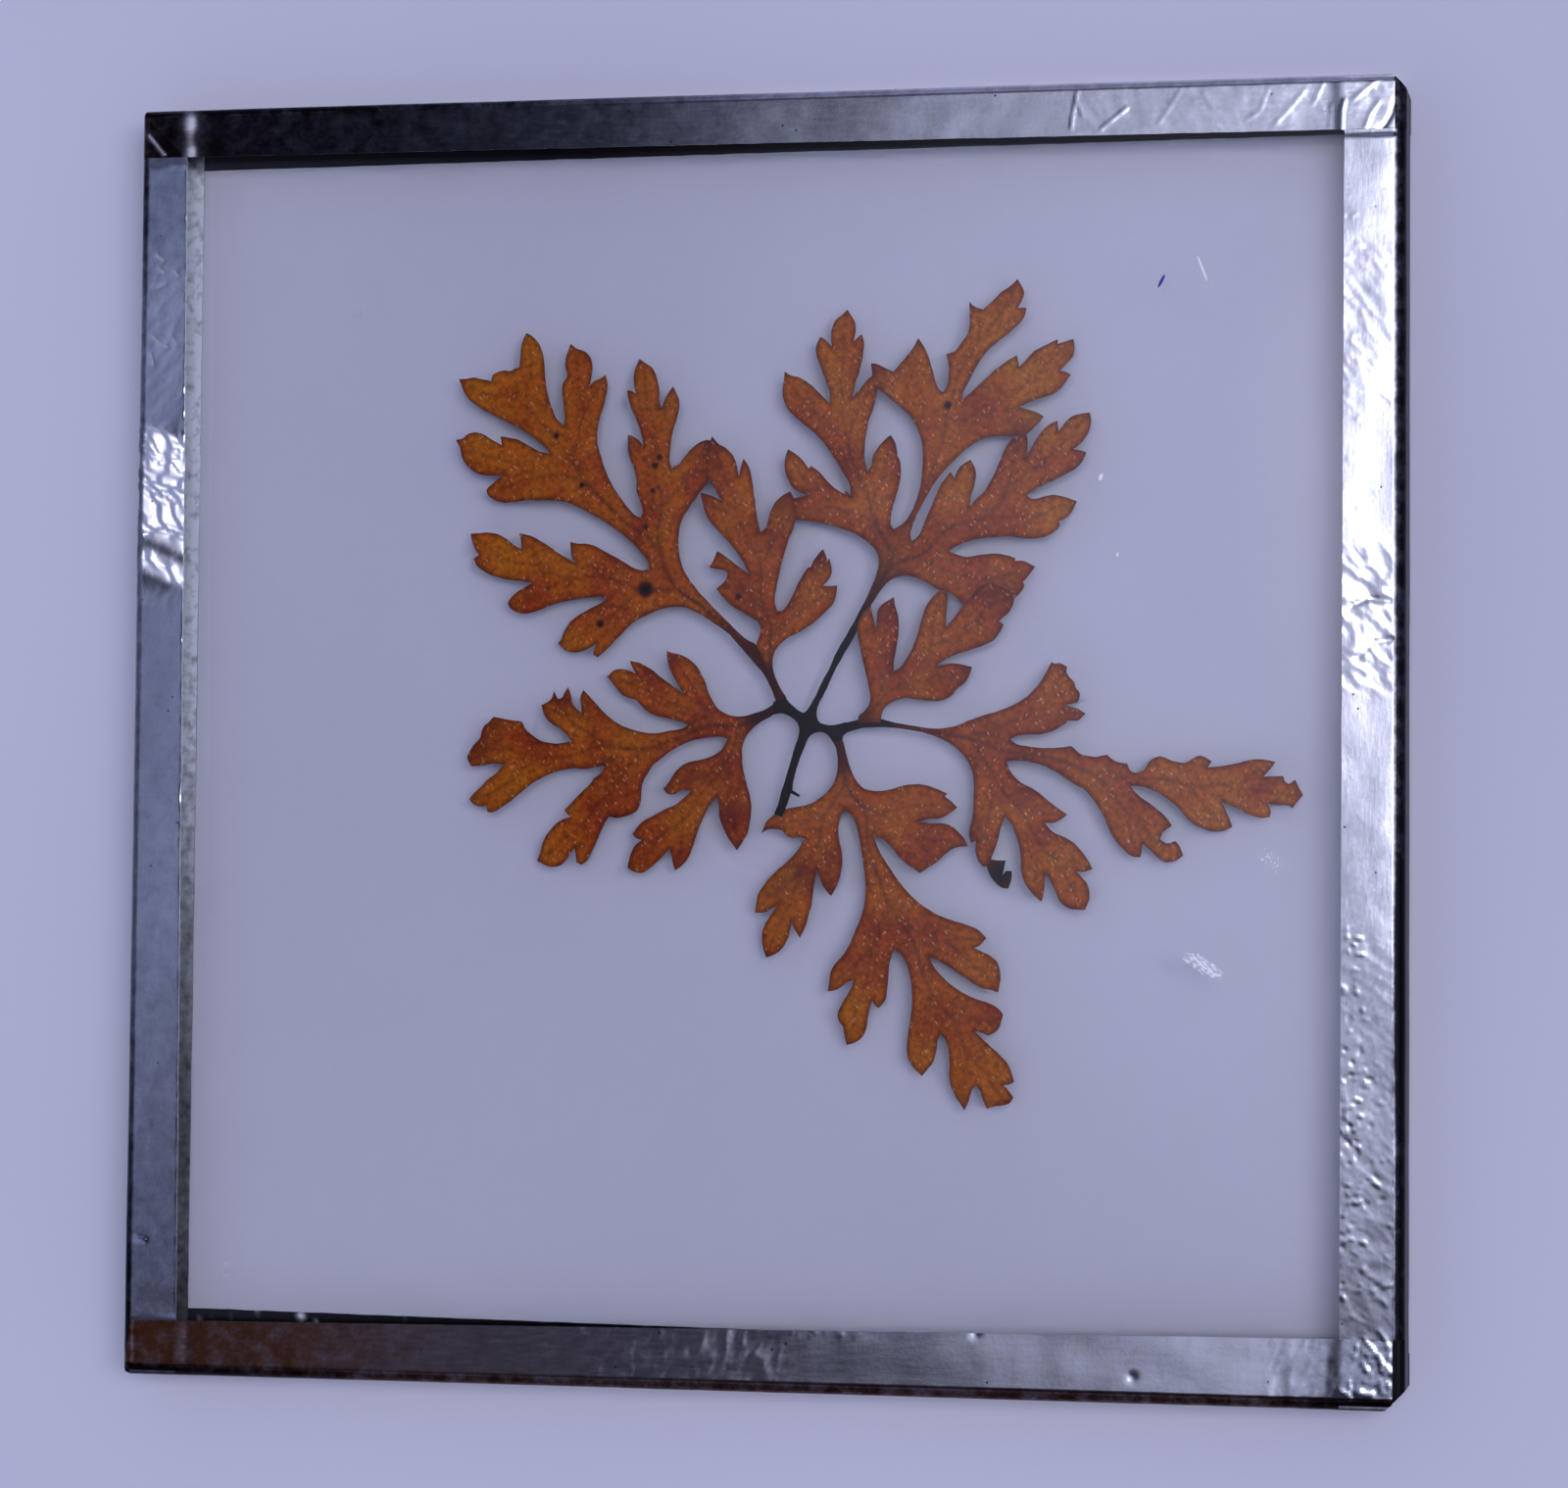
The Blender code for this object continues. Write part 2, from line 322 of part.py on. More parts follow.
UPPER_RIGHT_NEAR_GAP = [
    [(9.4, 26.97), (10, 26.53), (10.6, 26.03), (11.3, 25.45), (12, 24.75), (12.55, 23.85),
     (12.87, 22.9), (12.98, 21.8), (12.95, 20.6), (12.75, 19.2), (12.35, 17.9), (11.75, 16.85),
     (11.15, 16.3), (10.75, 16.1), (10.53, 16.4), (10.55, 17.2), (10.75, 18.1), (11, 19), (11.22, 19.8),
     (11.27, 20.6)],
    [(11.18, 21.45)],
    [(11, 21.72), (10.97, 22.2), (10.75, 22.95)],
    [(10.44, 23.37), (9.95, 22.98), (9.45, 22.4), (9.1, 21.8), (8.97, 21.1)],
    [(8.67, 20.54), (8.45, 21.3), (8.43, 22.3), (8.5, 23.3), (8.72, 24.4), (9.05, 25.35), (9.28, 26.2)],
]

UPPER_RIGHT_FAR_GAP = [
    [(20.1, 23.17), (19.55, 22.54), (19.1, 21.6), (18.75, 20.7), (18.25, 19.7), (17.75, 18.9),
     (17.2, 18.4)],
    [(16.66, 17.8), (16.75, 18.6), (17, 19.35), (17.13, 20.1), (17.03, 20.75)],
    [(16.72, 21.38), (16.3, 21.17), (15.85, 20.83), (15.62, 20.4)],
    [(15.48, 19.95)],
    [(15.17, 20.47), (14.8, 20.05), (14.4, 19.5), (14, 18.65), (13.6, 17.7), (13.1, 16.5),
     (12.75, 15.68), (12.45, 15.35)],
    [(12.13, 15.15), (12.05, 15.75), (12.35, 16.7), (12.8, 17.6), (13.35, 18.7), (13.95, 19.65),
     (14.6, 20.5), (15.4, 21.32), (16.3, 22.17), (17.1, 22.72), (17.9, 23.08), (18.9, 23.15)],
]

# Small lobe that lies over the foot of the right leaflet
LEAFLET_RIGHT_INNER_OUTLINE = [
    [(8.15, 1.2), (8.2, 1.75), (8.62, 2.1), (8.97, 2.65), (9.07, 3.25), (8.85, 4.3), (8.5, 5.8),
     (8.2, 7.2), (8.02, 8.2), (8.1, 8.95), (8.5, 9.7)],
    [(9.08, 10.28), (9.17, 9.7), (9.3, 9)],
    [(9.47, 8.4), (9.52, 9.1), (9.6, 9.8), (9.9, 10.27), (10.35, 10.55)],
    [(10.82, 10.87), (10.95, 10.25), (11.17, 9.5), (11.25, 8.6), (11.2, 7.7), (11, 6.5), (10.88, 5.7)],
    [(10.85, 5.1), (11.4, 5.5), (11.95, 6.25), (12.45, 7.3), (12.85, 8.5), (13.15, 9.6), (13.6, 10.5)],
    [(14.6, 11.55), (14.95, 11.2), (14.97, 10.3), (14.92, 9.4)],
    [(14.88, 8.58), (15.27, 8.95), (15.65, 9.4), (16.2, 10.15), (16.9, 10.9), (17.5, 11.6),
     (18.3, 11.85), (19.2, 11.55)],
    [(20.2, 11.1), (20.18, 10.6), (20.05, 10.1), (19.75, 9.6), (19.3, 9.22)],
    [(19.03, 8.95)],
    [(19.38, 8.7), (19.1, 8.1), (18.6, 7.5), (17.9, 7.15), (16.9, 6.8), (15.7, 6.42), (14.8, 6)],
    [(14.1, 5.55), (14.9, 5.68), (15.6, 5.76), (16.3, 5.63)],
    [(16.95, 5.45), (16.8, 4.95), (16.5, 4.35), (15.8, 3.77), (15.3, 3.2), (14.6, 2.92), (13.6, 2.87),
     (12.6, 3), (11.7, 3.1), (11, 2.9), (10.4, 2.55), (10.03, 2.1), (9.95, 1.6)],
    [(9.9, 1.2)],
]

# Leaflet that points to the right, with its long side lobe
LEAFLET_RIGHT_OUTLINE = [
    [(7.17, 1.24), (8, 1.42), (9, 1.5), (9.9, 1.5), (10.4, 1.36), (11.5, 1.12), (12.8, 0.92),
     (13.9, 0.78), (14.9, 0.8), (15.85, 1.02), (16.7, 1.38), (17.8, 1.77), (19, 2.12), (20.15, 2.58),
     (21.1, 3.15), (21.9, 3.95), (22.5, 4.8)],
    [(23.04, 5.85), (23.3, 5.7), (23.6, 5.75), (23.9, 5.66)],
    [(24.25, 5.46), (24.2, 5.1)],
    [(24.35, 4.75)],
    [(24.83, 4.22), (24.9, 3.9)],
    [(25.22, 3.45), (25.2, 3.05), (25.05, 2.72), (24.6, 2.63)],
    [(24.1, 2.55), (24.6, 2.4), (25.1, 2.27)],
    [(25.7, 1.88), (25.4, 1.6), (25.05, 1.36), (24.7, 1.35)],
    [(24.3, 1.38)],
    [(24.17, 1.17), (23.6, 0.8), (22.9, 0.5), (22.1, 0.33), (21.2, 0.3), (20.5, 0.24)],
    [(19.87, -0.08), (20.4, -0.43), (21.2, -0.57), (22.2, -0.72), (23.3, -0.71), (24.1, -0.66)],
    [(24.6, -0.6), (24.9, -0.85), (25.4, -1.22), (26, -1.35), (26.6, -1.38)],
    [(27.33, -1.22), (27.7, -1.55), (28.3, -1.83)],
    [(28.87, -1.9), (29.15, -2.43), (29.65, -2.58), (30.2, -2.3), (30.6, -1.7), (31.4, -1.37),
     (32.2, -1.63), (33.2, -1.84), (33.85, -1.57), (34.5, -1.3)],
    [(35.28, -1.7)],
    [(35, -2.2), (36, -2.1), (37.1, -1.9), (38.15, -1.63), (39, -1.57)],
    [(40.1, -1.77), (39.75, -2.25)],
    [(39.2, -2.85), (39.9, -2.85)],
    [(40.7, -2.83)],
    [(40.85, -3.25), (41.15, -3.4)],
    [(41.58, -3.1), (41.87, -3.65)],
    [(42.2, -4.26), (41.85, -4.65)],
    [(41.4, -5.28), (41, -5), (40.4, -5)],
    [(39.55, -4.93), (39.75, -5.4)],
    [(39.7, -5.95), (39.1, -6), (38.15, -5.74), (37.2, -5.27)],
    [(36.07, -4.8), (36.4, -5.54), (36.74, -6.3)],
    [(36.85, -6.7), (36.1, -7), (35.3, -7), (34.4, -6.7), (33.6, -6.2), (33, -5.5), (32.2, -4.75),
     (31.2, -4.07), (30.2, -3.67)],
    [(29.1, -3.57), (29.55, -4.12), (30.35, -4.73), (31.15, -5.34), (31.83, -5.94)],
    [(32.3, -6.6), (31.7, -7.02)],
    [(31.35, -7.6), (31.9, -7.93)],
    [(32.6, -7.75), (32.97, -8.3)],
    [(33.17, -8.85), (32.6, -9.25), (31.95, -9.37), (31.25, -9.03), (30.6, -8.4)],
    [(30.08, -7.95), (30, -8.5)],
    [(29.93, -9), (29.3, -8.95), (28.5, -8.3), (27.9, -7.6), (27.45, -6.7), (26.95, -5.65),
     (26.25, -4.6), (25.6, -3.9), (24.7, -3.38), (23.6, -2.65), (22.6, -2.13), (21.6, -1.82),
     (20.6, -1.67)],
    [(19.62, -1.75), (19.9, -2.46), (20.36, -3.03), (20.97, -3.49), (21.6, -3.8), (22.3, -4.28),
     (23, -4.85)],
    [(24.3, -5.78), (23.9, -6.1), (23.4, -6.37)],
    [(22.6, -6.42), (23.1, -7), (23.7, -7.33), (24.35, -7.63), (24.95, -8.05), (25.5, -8.67),
     (25.95, -9.3)],
    [(26.27, -9.92), (25.7, -10.1)],
    [(25.03, -10.12), (25.5, -10.55), (25.85, -11), (26.05, -11.6), (26.03, -12.2), (25.85, -12.65)],
    [(25.72, -13.02), (25.2, -13), (24.5, -12.9), (23.95, -12.55), (23.6, -12), (23.25, -11.2)],
    [(22.71, -10.2), (22.6, -10.8), (22.6, -11.4), (22.53, -11.95)],
    [(22.36, -12.37), (21.9, -12.03), (21.4, -11.47), (21.05, -10.95), (20.83, -10.2), (20.77, -9.3),
     (20.65, -8.3), (20.4, -7.4), (20.05, -6.55)],
    [(19.54, -5.93), (19.3, -6.5), (19.1, -7.3), (18.88, -8.1), (18.65, -8.75)],
    [(18.48, -9.2), (19.1, -9.29)],
    [(19.62, -9.28), (19.5, -9.75)],
    [(19.38, -10.4)],
    [(19.65, -10.08)],
    [(20.08, -10.1), (20.05, -10.7)],
    [(19.83, -11.43), (19.3, -11.35), (18.8, -10.97), (18.4, -10.45), (18.2, -9.95)],
    [(18.12, -9.72)],
    [(17.88, -9.8), (17.55, -9.4), (17.3, -8.75), (17.28, -8.2)],
    [(17.3, -7.8)],
    [(16.92, -7.95), (16.77, -7.4), (16.87, -6.67), (17.03, -5.85), (17.07, -4.9), (17.1, -3.9),
     (17.08, -3), (16.85, -2.2), (16.4, -1.45), (15.7, -0.7), (14.9, -0.2), (14, 0.2), (13.1, 0.46),
     (12, 0.68), (10.8, 0.83), (9.5, 0.87), (8.5, 0.82), (7.8, 0.65)],
    [(7.17, 0.44)],
]

# Leaflet that hangs below the knot
LEAFLET_LOWER_OUTLINE = [
    [(6.08, -0.18), (6.35, -0.75), (6.5, -1.45), (6.52, -2.2), (6.38, -2.95), (6.05, -3.65),
     (5.5, -4.28), (4.8, -4.8), (4, -5.15), (3.2, -5.28), (2.4, -5.45), (1.6, -5.85), (1, -6.35)],
    [(0.55, -7.3), (1.1, -6.98), (1.6, -6.97), (2.15, -7.1), (2.6, -7.5), (3, -7.65), (3.5, -7.6)],
    [(4, -7.68), (3.6, -8.35), (2.93, -9.16), (2.1, -9.9), (1.3, -10.66), (0.73, -11.36),
     (0.33, -12.05), (0.2, -12.75)],
    [(0.1, -13.43), (0.73, -13.4), (1.3, -13.15)],
    [(1.94, -12.72), (1.5, -13.35), (1.05, -14.05), (0.73, -14.8), (0.68, -15.5), (0.8, -16.2)],
    [(1.02, -16.85), (1.66, -16.6), (2.3, -16.1), (2.7, -15.4), (2.87, -14.7)],
    [(3.02, -14.12), (3.27, -14.7)],
    [(3.68, -15.33), (4.05, -14.5), (4.33, -13.6), (4.55, -12.7), (4.67, -11.8), (4.78, -11)],
    [(4.95, -10.08), (5.18, -10.66), (5.47, -11.36), (5.8, -11.8)],
    [(6.1, -12.07), (6.45, -11.4), (6.74, -10.66), (6.9, -9.85), (6.9, -8.93), (6.74, -8.1),
     (6.6, -7.3), (6.64, -6.5), (6.82, -5.85), (7.12, -5.5), (7.5, -5.77), (7.93, -6.5), (8.2, -7.5),
     (8.4, -8.6), (8.6, -9.8), (8.75, -11.2), (8.73, -12.4), (8.5, -13.45), (8.05, -14.6),
     (7.57, -15.7), (7.05, -16.6), (6.5, -17.2), (6.13, -17.82), (6, -18.54)],
    [(5.87, -19.4), (6.45, -19.3), (6.95, -19), (7.45, -18.65)],
    [(7.93, -18.52), (7.65, -19.2), (7.2, -19.95), (6.83, -20.6), (6.65, -21.15), (6.75, -21.65)],
    [(7.07, -22.05), (7.17, -22.6)],
    [(7.38, -23.47), (7.97, -23.3), (8.5, -22.95), (8.85, -22.33), (9, -21.6), (9.1, -20.9)],
    [(9.35, -20.05), (9.55, -20.35)],
    [(9.83, -20.62), (10.15, -20.3), (10.4, -19.85), (10.5, -19.15), (10.6, -18.2), (10.65, -17.4),
     (10.8, -16.7)],
    [(11.05, -16.08), (11.55, -16.5), (11.95, -17.15), (12.2, -17.9), (12.35, -18.7), (12.45, -19.6),
     (12.4, -20.6), (12.3, -21.6), (12.15, -22.6), (12.05, -23.6), (12.12, -24.3), (12.5, -25)],
    [(13.27, -25.73), (13.72, -25.2), (14.13, -24.6), (14.33, -23.87), (14.43, -23.15)],
    [(14.68, -22.52), (15, -22.9), (15.2, -23.4), (15.33, -24.2), (15.36, -25), (15.37, -25.8),
     (15.52, -26.5), (15.9, -27.3)],
    [(16.55, -28.3), (16.85, -27.65), (17.03, -27.1), (17.2, -26.6), (17.42, -26.43), (17.72, -26.8),
     (17.95, -27.45)],
    [(18.28, -28.15), (18.85, -27.97), (19.5, -27.88), (20, -27.7)],
    [(20.3, -27.25), (19.95, -26.75)],
    [(19.55, -26.33), (19.87, -26.33)],
    [(20.35, -26.07), (20.18, -25.5), (19.9, -24.85), (19.5, -24.33), (18.9, -23.75), (18.2, -23.15)],
    [(17.3, -22.3), (17.85, -22.4), (18.33, -22.6), (18.85, -22.33), (19.2, -21.92), (19.38, -21.4)],
    [(19.47, -20.97), (19.05, -20.5), (18.3, -20.13), (17.5, -19.87), (16.7, -19.56), (15.87, -19.05),
     (15.1, -18.5), (14.45, -17.85), (14, -17.25)],
    [(13.75, -16.7), (14.3, -16.85), (14.9, -17.2), (15.6, -17.65), (16.4, -18.15), (17.2, -18.68),
     (17.9, -19.02), (18.5, -19.15)],
    [(19.07, -19.32), (19.2, -18.74), (19.24, -18.1), (19.15, -17.4), (18.95, -16.95), (18.4, -16.52),
     (17.8, -16.23)],
    [(17.15, -15.95), (17.6, -15.77)],
    [(18.15, -15.18), (17.72, -14.74), (17.1, -14.38), (16.38, -14.13), (15.67, -13.92), (14.7, -13.6),
     (13.8, -13.15), (12.8, -12.45), (11.8, -11.47), (11, -10.43), (10.37, -9.5), (9.85, -8.7)],
    [(9.38, -7.48), (10, -7.68), (10.66, -8.24), (11.36, -9.05), (12.05, -9.65)],
    [(12.97, -10.27), (13.66, -9.85), (14.4, -9.35), (15, -8.78), (15.5, -8.42), (16.1, -8.27)],
    [(16.72, -8.2), (16.35, -7.6), (15.9, -7.1), (15.4, -6.68), (14.7, -6.5), (13.8, -6.47)],
    [(12.85, -6.38), (13.6, -6.15), (14.5, -6.1), (15.2, -5.75)],
    [(15.85, -5.28), (15.4, -4.85)],
    [(14.9, -4.45)],
    [(15.03, -4.2), (14.4, -3.92), (13.78, -3.68), (12.9, -3.5), (12.05, -3.53), (11.2, -3.73),
     (10.3, -3.97), (9.4, -4.02), (8.7, -3.87), (8.2, -3.5), (7.8, -2.95), (7.47, -2.2), (7.22, -1.4),
     (7.04, -0.75)],
    [(6.93, -0.18)],
]

frame_parts = bpy.data.collections.new("pressed_leaf_glass_frame")
bpy.context.scene.collection.children.link(frame_parts)
cutters = bpy.data.collections.new("cutters")
bpy.context.scene.collection.children.link(cutters)


def plain_material(name, colour, roughness, metallic=0.0, transmission=0.0):
    """A material whose Principled shader carries the given plain values."""
    material = bpy.data.materials.new(name)
    material.use_nodes = True
    shader = material.node_tree.nodes["Principled BSDF"]
    shader.inputs["Base Color"].default_value = (*colour, 1.0)
    shader.inputs["Roughness"].default_value = roughness
    shader.inputs["Metallic"].default_value = metallic
    shader.inputs["Transmission Weight"].default_value = transmission
    return material


def added_cube(name, collection):
    """A cube of unit size, kept in the given collection."""
    bpy.ops.mesh.primitive_cube_add(size=1.0)
    cube = bpy.context.object
    cube.users_collection[0].objects.unlink(cube)
    collection.objects.link(cube)
    cube.name = name
    cube.data.name = name
    return cube


def filled_outline(name, outlines, bottom, thickness, collection):
    """A flat plate of the given thickness; the first outline bounds it and the others are openings."""
    curve = bpy.data.curves.new(name + "_outline", "CURVE")
    curve.dimensions = "2D"
    curve.fill_mode = "BOTH"
    curve.extrude = thickness / 2 * MM
    for outline in outlines:
        spline = curve.splines.new("POLY")
        spline.points.add(len(outline) - 1)
        for point, (x, y) in zip(spline.points, outline):
            point.co = (x * MM, y * MM, 0.0, 1.0)
        spline.use_cyclic_u = True
    drawn = bpy.data.objects.new(name + "_outline", curve)
    collection.objects.link(drawn)
    drawn.location = (0.0, 0.0, (bottom + thickness / 2) * MM)
    return mesh_from_curve(name, drawn, collection)


def mesh_from_curve(name, drawn, collection):
    """The curve object turned into a closed mesh object in the same place."""
    bpy.context.view_layer.update()
    evaluated = drawn.evaluated_get(bpy.context.evaluated_depsgraph_get())
    mesh = bpy.data.meshes.new_from_object(evaluated)
    mesh.name = name
    work = bmesh.new()
    work.from_mesh(mesh)
    bmesh.ops.remove_doubles(work, verts=work.verts, dist=0.000001)
    bmesh.ops.recalc_face_normals(work, faces=work.faces)
    work.to_mesh(mesh)
    work.free()
    made = bpy.data.objects.new(name, mesh)
    collection.objects.link(made)
    made.matrix_world = drawn.matrix_world
    bpy.data.objects.remove(drawn, do_unlink=True)
    return made


def cut_away(target, cutter):
    """Take the cutter's shape out of the target with an exact Boolean."""
    boolean = target.modifiers.new("cut_" + cutter.name, "BOOLEAN")
    boolean.operation = "DIFFERENCE"
    boolean.solver = "EXACT"
    boolean.object = cutter


def hide_cutter(cutter):
    cutter.hide_render = True
    cutter.display_type = "WIRE"


# Corner cutters: upright blocks that stand diagonally across each corner of the foil and of the glass
def corner_cutter(name, side_x, side_y, blunt):
    distance = (2 * HALF_SIDE - blunt) / math.sqrt(2) + 5.0
    cutter = added_cube(name, cutters)
    cutter.scale = (10.0 * MM, 10.0 * MM, 12.0 * MM)
    cutter.rotation_euler = (0.0, 0.0, math.radians(45.0))
    cutter.location = (side_x * distance / math.sqrt(2) * MM, side_y * distance / math.sqrt(2) * MM, 2.7 * MM)
    hide_cutter(cutter)
    return cutter


CORNERS = {
    "top_left": (-1, 1, BLUNT_TOP_LEFT),
    "top_right": (1, 1, BLUNT_TOP_RIGHT),
    "bottom_right": (1, -1, BLUNT_BOTTOM_RIGHT),
    "bottom_left": (-1, -1, BLUNT_BOTTOM_LEFT),
}
foil_corner_cutters = {
    corner: corner_cutter("foil_corner_" + corner, side_x, side_y, blunt)
    for corner, (side_x, side_y, blunt) in CORNERS.items()
}
glass_corner_cutters = {
    corner: corner_cutter("glass_corner_" + corner, side_x, side_y, blunt + 0.3)
    for corner, (side_x, side_y, blunt) in CORNERS.items()
}


# Glass panes: square plates with ground edges and slightly blunted corners
def glass_pane(name, bottom):
    pane = added_cube(name, frame_parts)
    pane.data.transform(Matrix.Diagonal((2 * HALF_PANE * MM, 2 * HALF_PANE * MM, PANE_THICKNESS * MM, 1.0)))
    pane.location = (0.0, 0.0, (bottom + PANE_THICKNESS / 2) * MM)
    edge = pane.modifiers.new("ground_edge", "BEVEL")
    edge.width = GROUND_EDGE * MM
    edge.segments = 2
    edge.limit_method = "NONE"
    for cutter in glass_corner_cutters.values():
        cut_away(pane, cutter)
    pane.data.materials.append(plain_material(name, (0.83, 0.9, 0.89), 0.03, transmission=1.0))
    return pane


glass_pane("back_glass", BACK_PANE_BOTTOM)
glass_pane("front_glass", FRONT_PANE_BOTTOM)


# Foil strips: a U of foil folded over the edge of both panes
def fold_arc(across, height, radius, start):
    """Points a quarter turn round a fold, anticlockwise from the start angle in degrees."""
    turns = [math.radians(start + 90.0 * step / FOLD_STEPS) for step in range(FOLD_STEPS + 1)]
    return [(across + radius * math.cos(turn), height + radius * math.sin(turn)) for turn in turns]


def foil_profile(front_width, back_width, front_fold, back_bottom):
    """The U seen from the strip's end: out round the outside, then back along the inside."""
    front_centre = (HALF_SIDE - front_fold, FRONT_FLANGE_TOP - front_fold)
    back_centre = (HALF_SIDE - BACK_FOLD, back_bottom + BACK_FOLD)
    outside = [(HALF_SIDE - back_width, back_bottom)]
    outside += fold_arc(*back_centre, BACK_FOLD, -90.0)
    outside += fold_arc(*front_centre, front_fold, 0.0)
    outside += [(HALF_SIDE - front_width, FRONT_FLANGE_TOP)]
    inside = [(HALF_SIDE - back_width, back_bottom + FOIL_THICKNESS)]
    inside += fold_arc(*back_centre, BACK_FOLD - FOIL_THICKNESS, -90.0)
    inside += fold_arc(*front_centre, front_fold - FOIL_THICKNESS, 0.0)
    inside += [(HALF_SIDE - front_width, FRONT_FLANGE_TOP - FOIL_THICKNESS)]
    return outside + inside[::-1]


def foil_strip(name, side, along_x, front_width, back_width, front_fold, back_bottom):
    """side is +1 or -1; the strip runs along X or Y; the widths are (start, end) of the strip."""
    curve = bpy.data.curves.new(name + "_profile", "CURVE")
    curve.dimensions = "2D"
    curve.fill_mode = "BOTH"
    curve.extrude = (HALF_SIDE if along_x else HALF_SIDE_STRIP) * MM
    profile = foil_profile(front_width[0], back_width[0], front_fold, back_bottom)
    spline = curve.splines.new("POLY")
    spline.points.add(len(profile) - 1)
    for point, (across, height) in zip(spline.points, profile):
        point.co = (side * across * MM, height * MM, 0.0, 1.0)
    spline.use_cyclic_u = True
    drawn = bpy.data.objects.new(name + "_profile", curve)
    frame_parts.objects.link(drawn)
    drawn.rotation_euler = (math.radians(90.0), 0.0, math.radians(90.0) if along_x else 0.0)
    strip = mesh_from_curve(name, drawn, frame_parts)
    bpy.context.view_layer.update()
    strip.data.transform(strip.matrix_world)
    strip.matrix_world.identity()

    along = 0 if along_x else 1
    across = 1 - along
    for vertex in strip.data.vertices:
        distance = abs(vertex.co[across]) / MM
        height = vertex.co.z / MM
        at_end = vertex.co[along] > 0
        if at_end and height > 4.0 and abs(distance - HALF_SIDE + front_width[0]) < 0.001:
            vertex.co[across] = side * (HALF_SIDE - front_width[1]) * MM
        if at_end and height < 1.0 and abs(distance - HALF_SIDE + back_width[0]) < 0.001:
            vertex.co[across] = side * (HALF_SIDE - back_width[1]) * MM
        if not along_x and distance > HALF_SIDE - FOIL_THICKNESS - 0.001:
            vertex.co.y = math.copysign(HALF_PANE * MM, vertex.co.y)
    strip.data.materials.append(plain_material(name, (0.62, 0.63, 0.65), 0.35, metallic=1.0))
    return strip


def raise_ends(strip, steps):
    """Lift the front of a top or bottom strip where it lies over the side strips."""
    work = bmesh.new()
    work.from_mesh(strip.data)
    for distance in steps:
        bmesh.ops.bisect_plane(
            work,
            geom=work.verts[:] + work.edges[:] + work.faces[:],
            plane_co=(distance * MM, 0.0, 0.0),
            plane_no=(1.0, 0.0, 0.0),
        )
    for vertex in work.verts:
        over_side_strip = vertex.co.x < (steps[0] + 0.01) * MM or vertex.co.x > (steps[3] - 0.01) * MM
        if over_side_strip and vertex.co.z > 4.0 * MM:
            vertex.co.z += OVERLAP_STEP * MM
    work.to_mesh(strip.data)
    work.free()


left_strip = foil_strip(
    "left_foil_strip", -1, False, LEFT_FRONT_WIDTH, LEFT_BACK_WIDTH, TIGHT_FOLD, OVERLAP_STEP
)
right_strip = foil_strip(
    "right_foil_strip", 1, False, RIGHT_FRONT_WIDTH, RIGHT_BACK_WIDTH, WIDE_FOLD, OVERLAP_STEP
)
top_strip = foil_strip("top_foil_strip", 1, True, TOP_FRONT_WIDTH, TOP_BACK_WIDTH, TIGHT_FOLD, 0.0)
bottom_strip = foil_strip(
    "bottom_foil_strip", -1, True, BOTTOM_FRONT_WIDTH, BOTTOM_BACK_WIDTH, WIDE_FOLD, 0.0
)
raise_ends(top_strip, TOP_STEPS)
raise_ends(bottom_strip, BOTTOM_STEPS)

for strip, corners in (
    (left_strip, ("top_left", "bottom_left")),
    (right_strip, ("top_right", "bottom_right")),
    (top_strip, ("top_left", "top_right")),
    (bottom_strip, ("bottom_left", "bottom_right")),
):
    for corner in corners:
        cut_away(strip, foil_corner_cutters[corner])

for name, strip, outline in (
    ("trim_top_left", top_strip, TOP_LEFT_TRIM),
    ("trim_top_right", top_strip, TOP_RIGHT_TRIM),
    ("trim_bottom_left", bottom_strip, BOTTOM_LEFT_TRIM),
    ("trim_bottom_right", bottom_strip, BOTTOM_RIGHT_TRIM),
):
    wedge = filled_outline(name, [outline], FRONT_FLANGE_TOP + 0.02, 1.0, cutters)
    hide_cutter(wedge)
    cut_away(strip, wedge)


# The pressed leaf: the knot with its stalk, and each leaflet as a piece of its own
def leaf_piece(name, outlines, bottom, colour):
    flat = [[point for row in rows for point in row] for rows in outlines]
    piece = filled_outline(name, flat, bottom, LEAF_THICKNESS, frame_parts)
    piece.data.materials.append(plain_material(name, colour, 0.65))
    return piece


leaf_piece("petiole", [PETIOLE_OUTLINE], UPPER_LAYER_BOTTOM, (0.022, 0.01, 0.007))
leaf_piece("leaflet_left", [LEAFLET_LEFT_OUTLINE], LOWER_LAYER_BOTTOM, (0.21, 0.06, 0.014))
leaf_piece("leaflet_upper_left", [LEAFLET_UPPER_LEFT_OUTLINE], LOWER_LAYER_BOTTOM, (0.24, 0.07, 0.012))
leaf_piece(
    "leaflet_upper_left_inner", [LEAFLET_UPPER_LEFT_INNER_OUTLINE], UPPER_LAYER_BOTTOM, (0.2, 0.045, 0.01)
)
leaf_piece(
    "leaflet_upper_right",
    [LEAFLET_UPPER_RIGHT_OUTLINE, UPPER_RIGHT_NEAR_GAP, UPPER_RIGHT_FAR_GAP],
    LOWER_LAYER_BOTTOM,
    (0.22, 0.065, 0.018),
)
leaf_piece("leaflet_right_inner", [LEAFLET_RIGHT_INNER_OUTLINE], UPPER_LAYER_BOTTOM, (0.2, 0.045, 0.01))
leaf_piece("leaflet_right", [LEAFLET_RIGHT_OUTLINE], LOWER_LAYER_BOTTOM, (0.22, 0.065, 0.018))
leaf_piece("leaflet_lower", [LEAFLET_LOWER_OUTLINE], LOWER_LAYER_BOTTOM, (0.24, 0.07, 0.014))
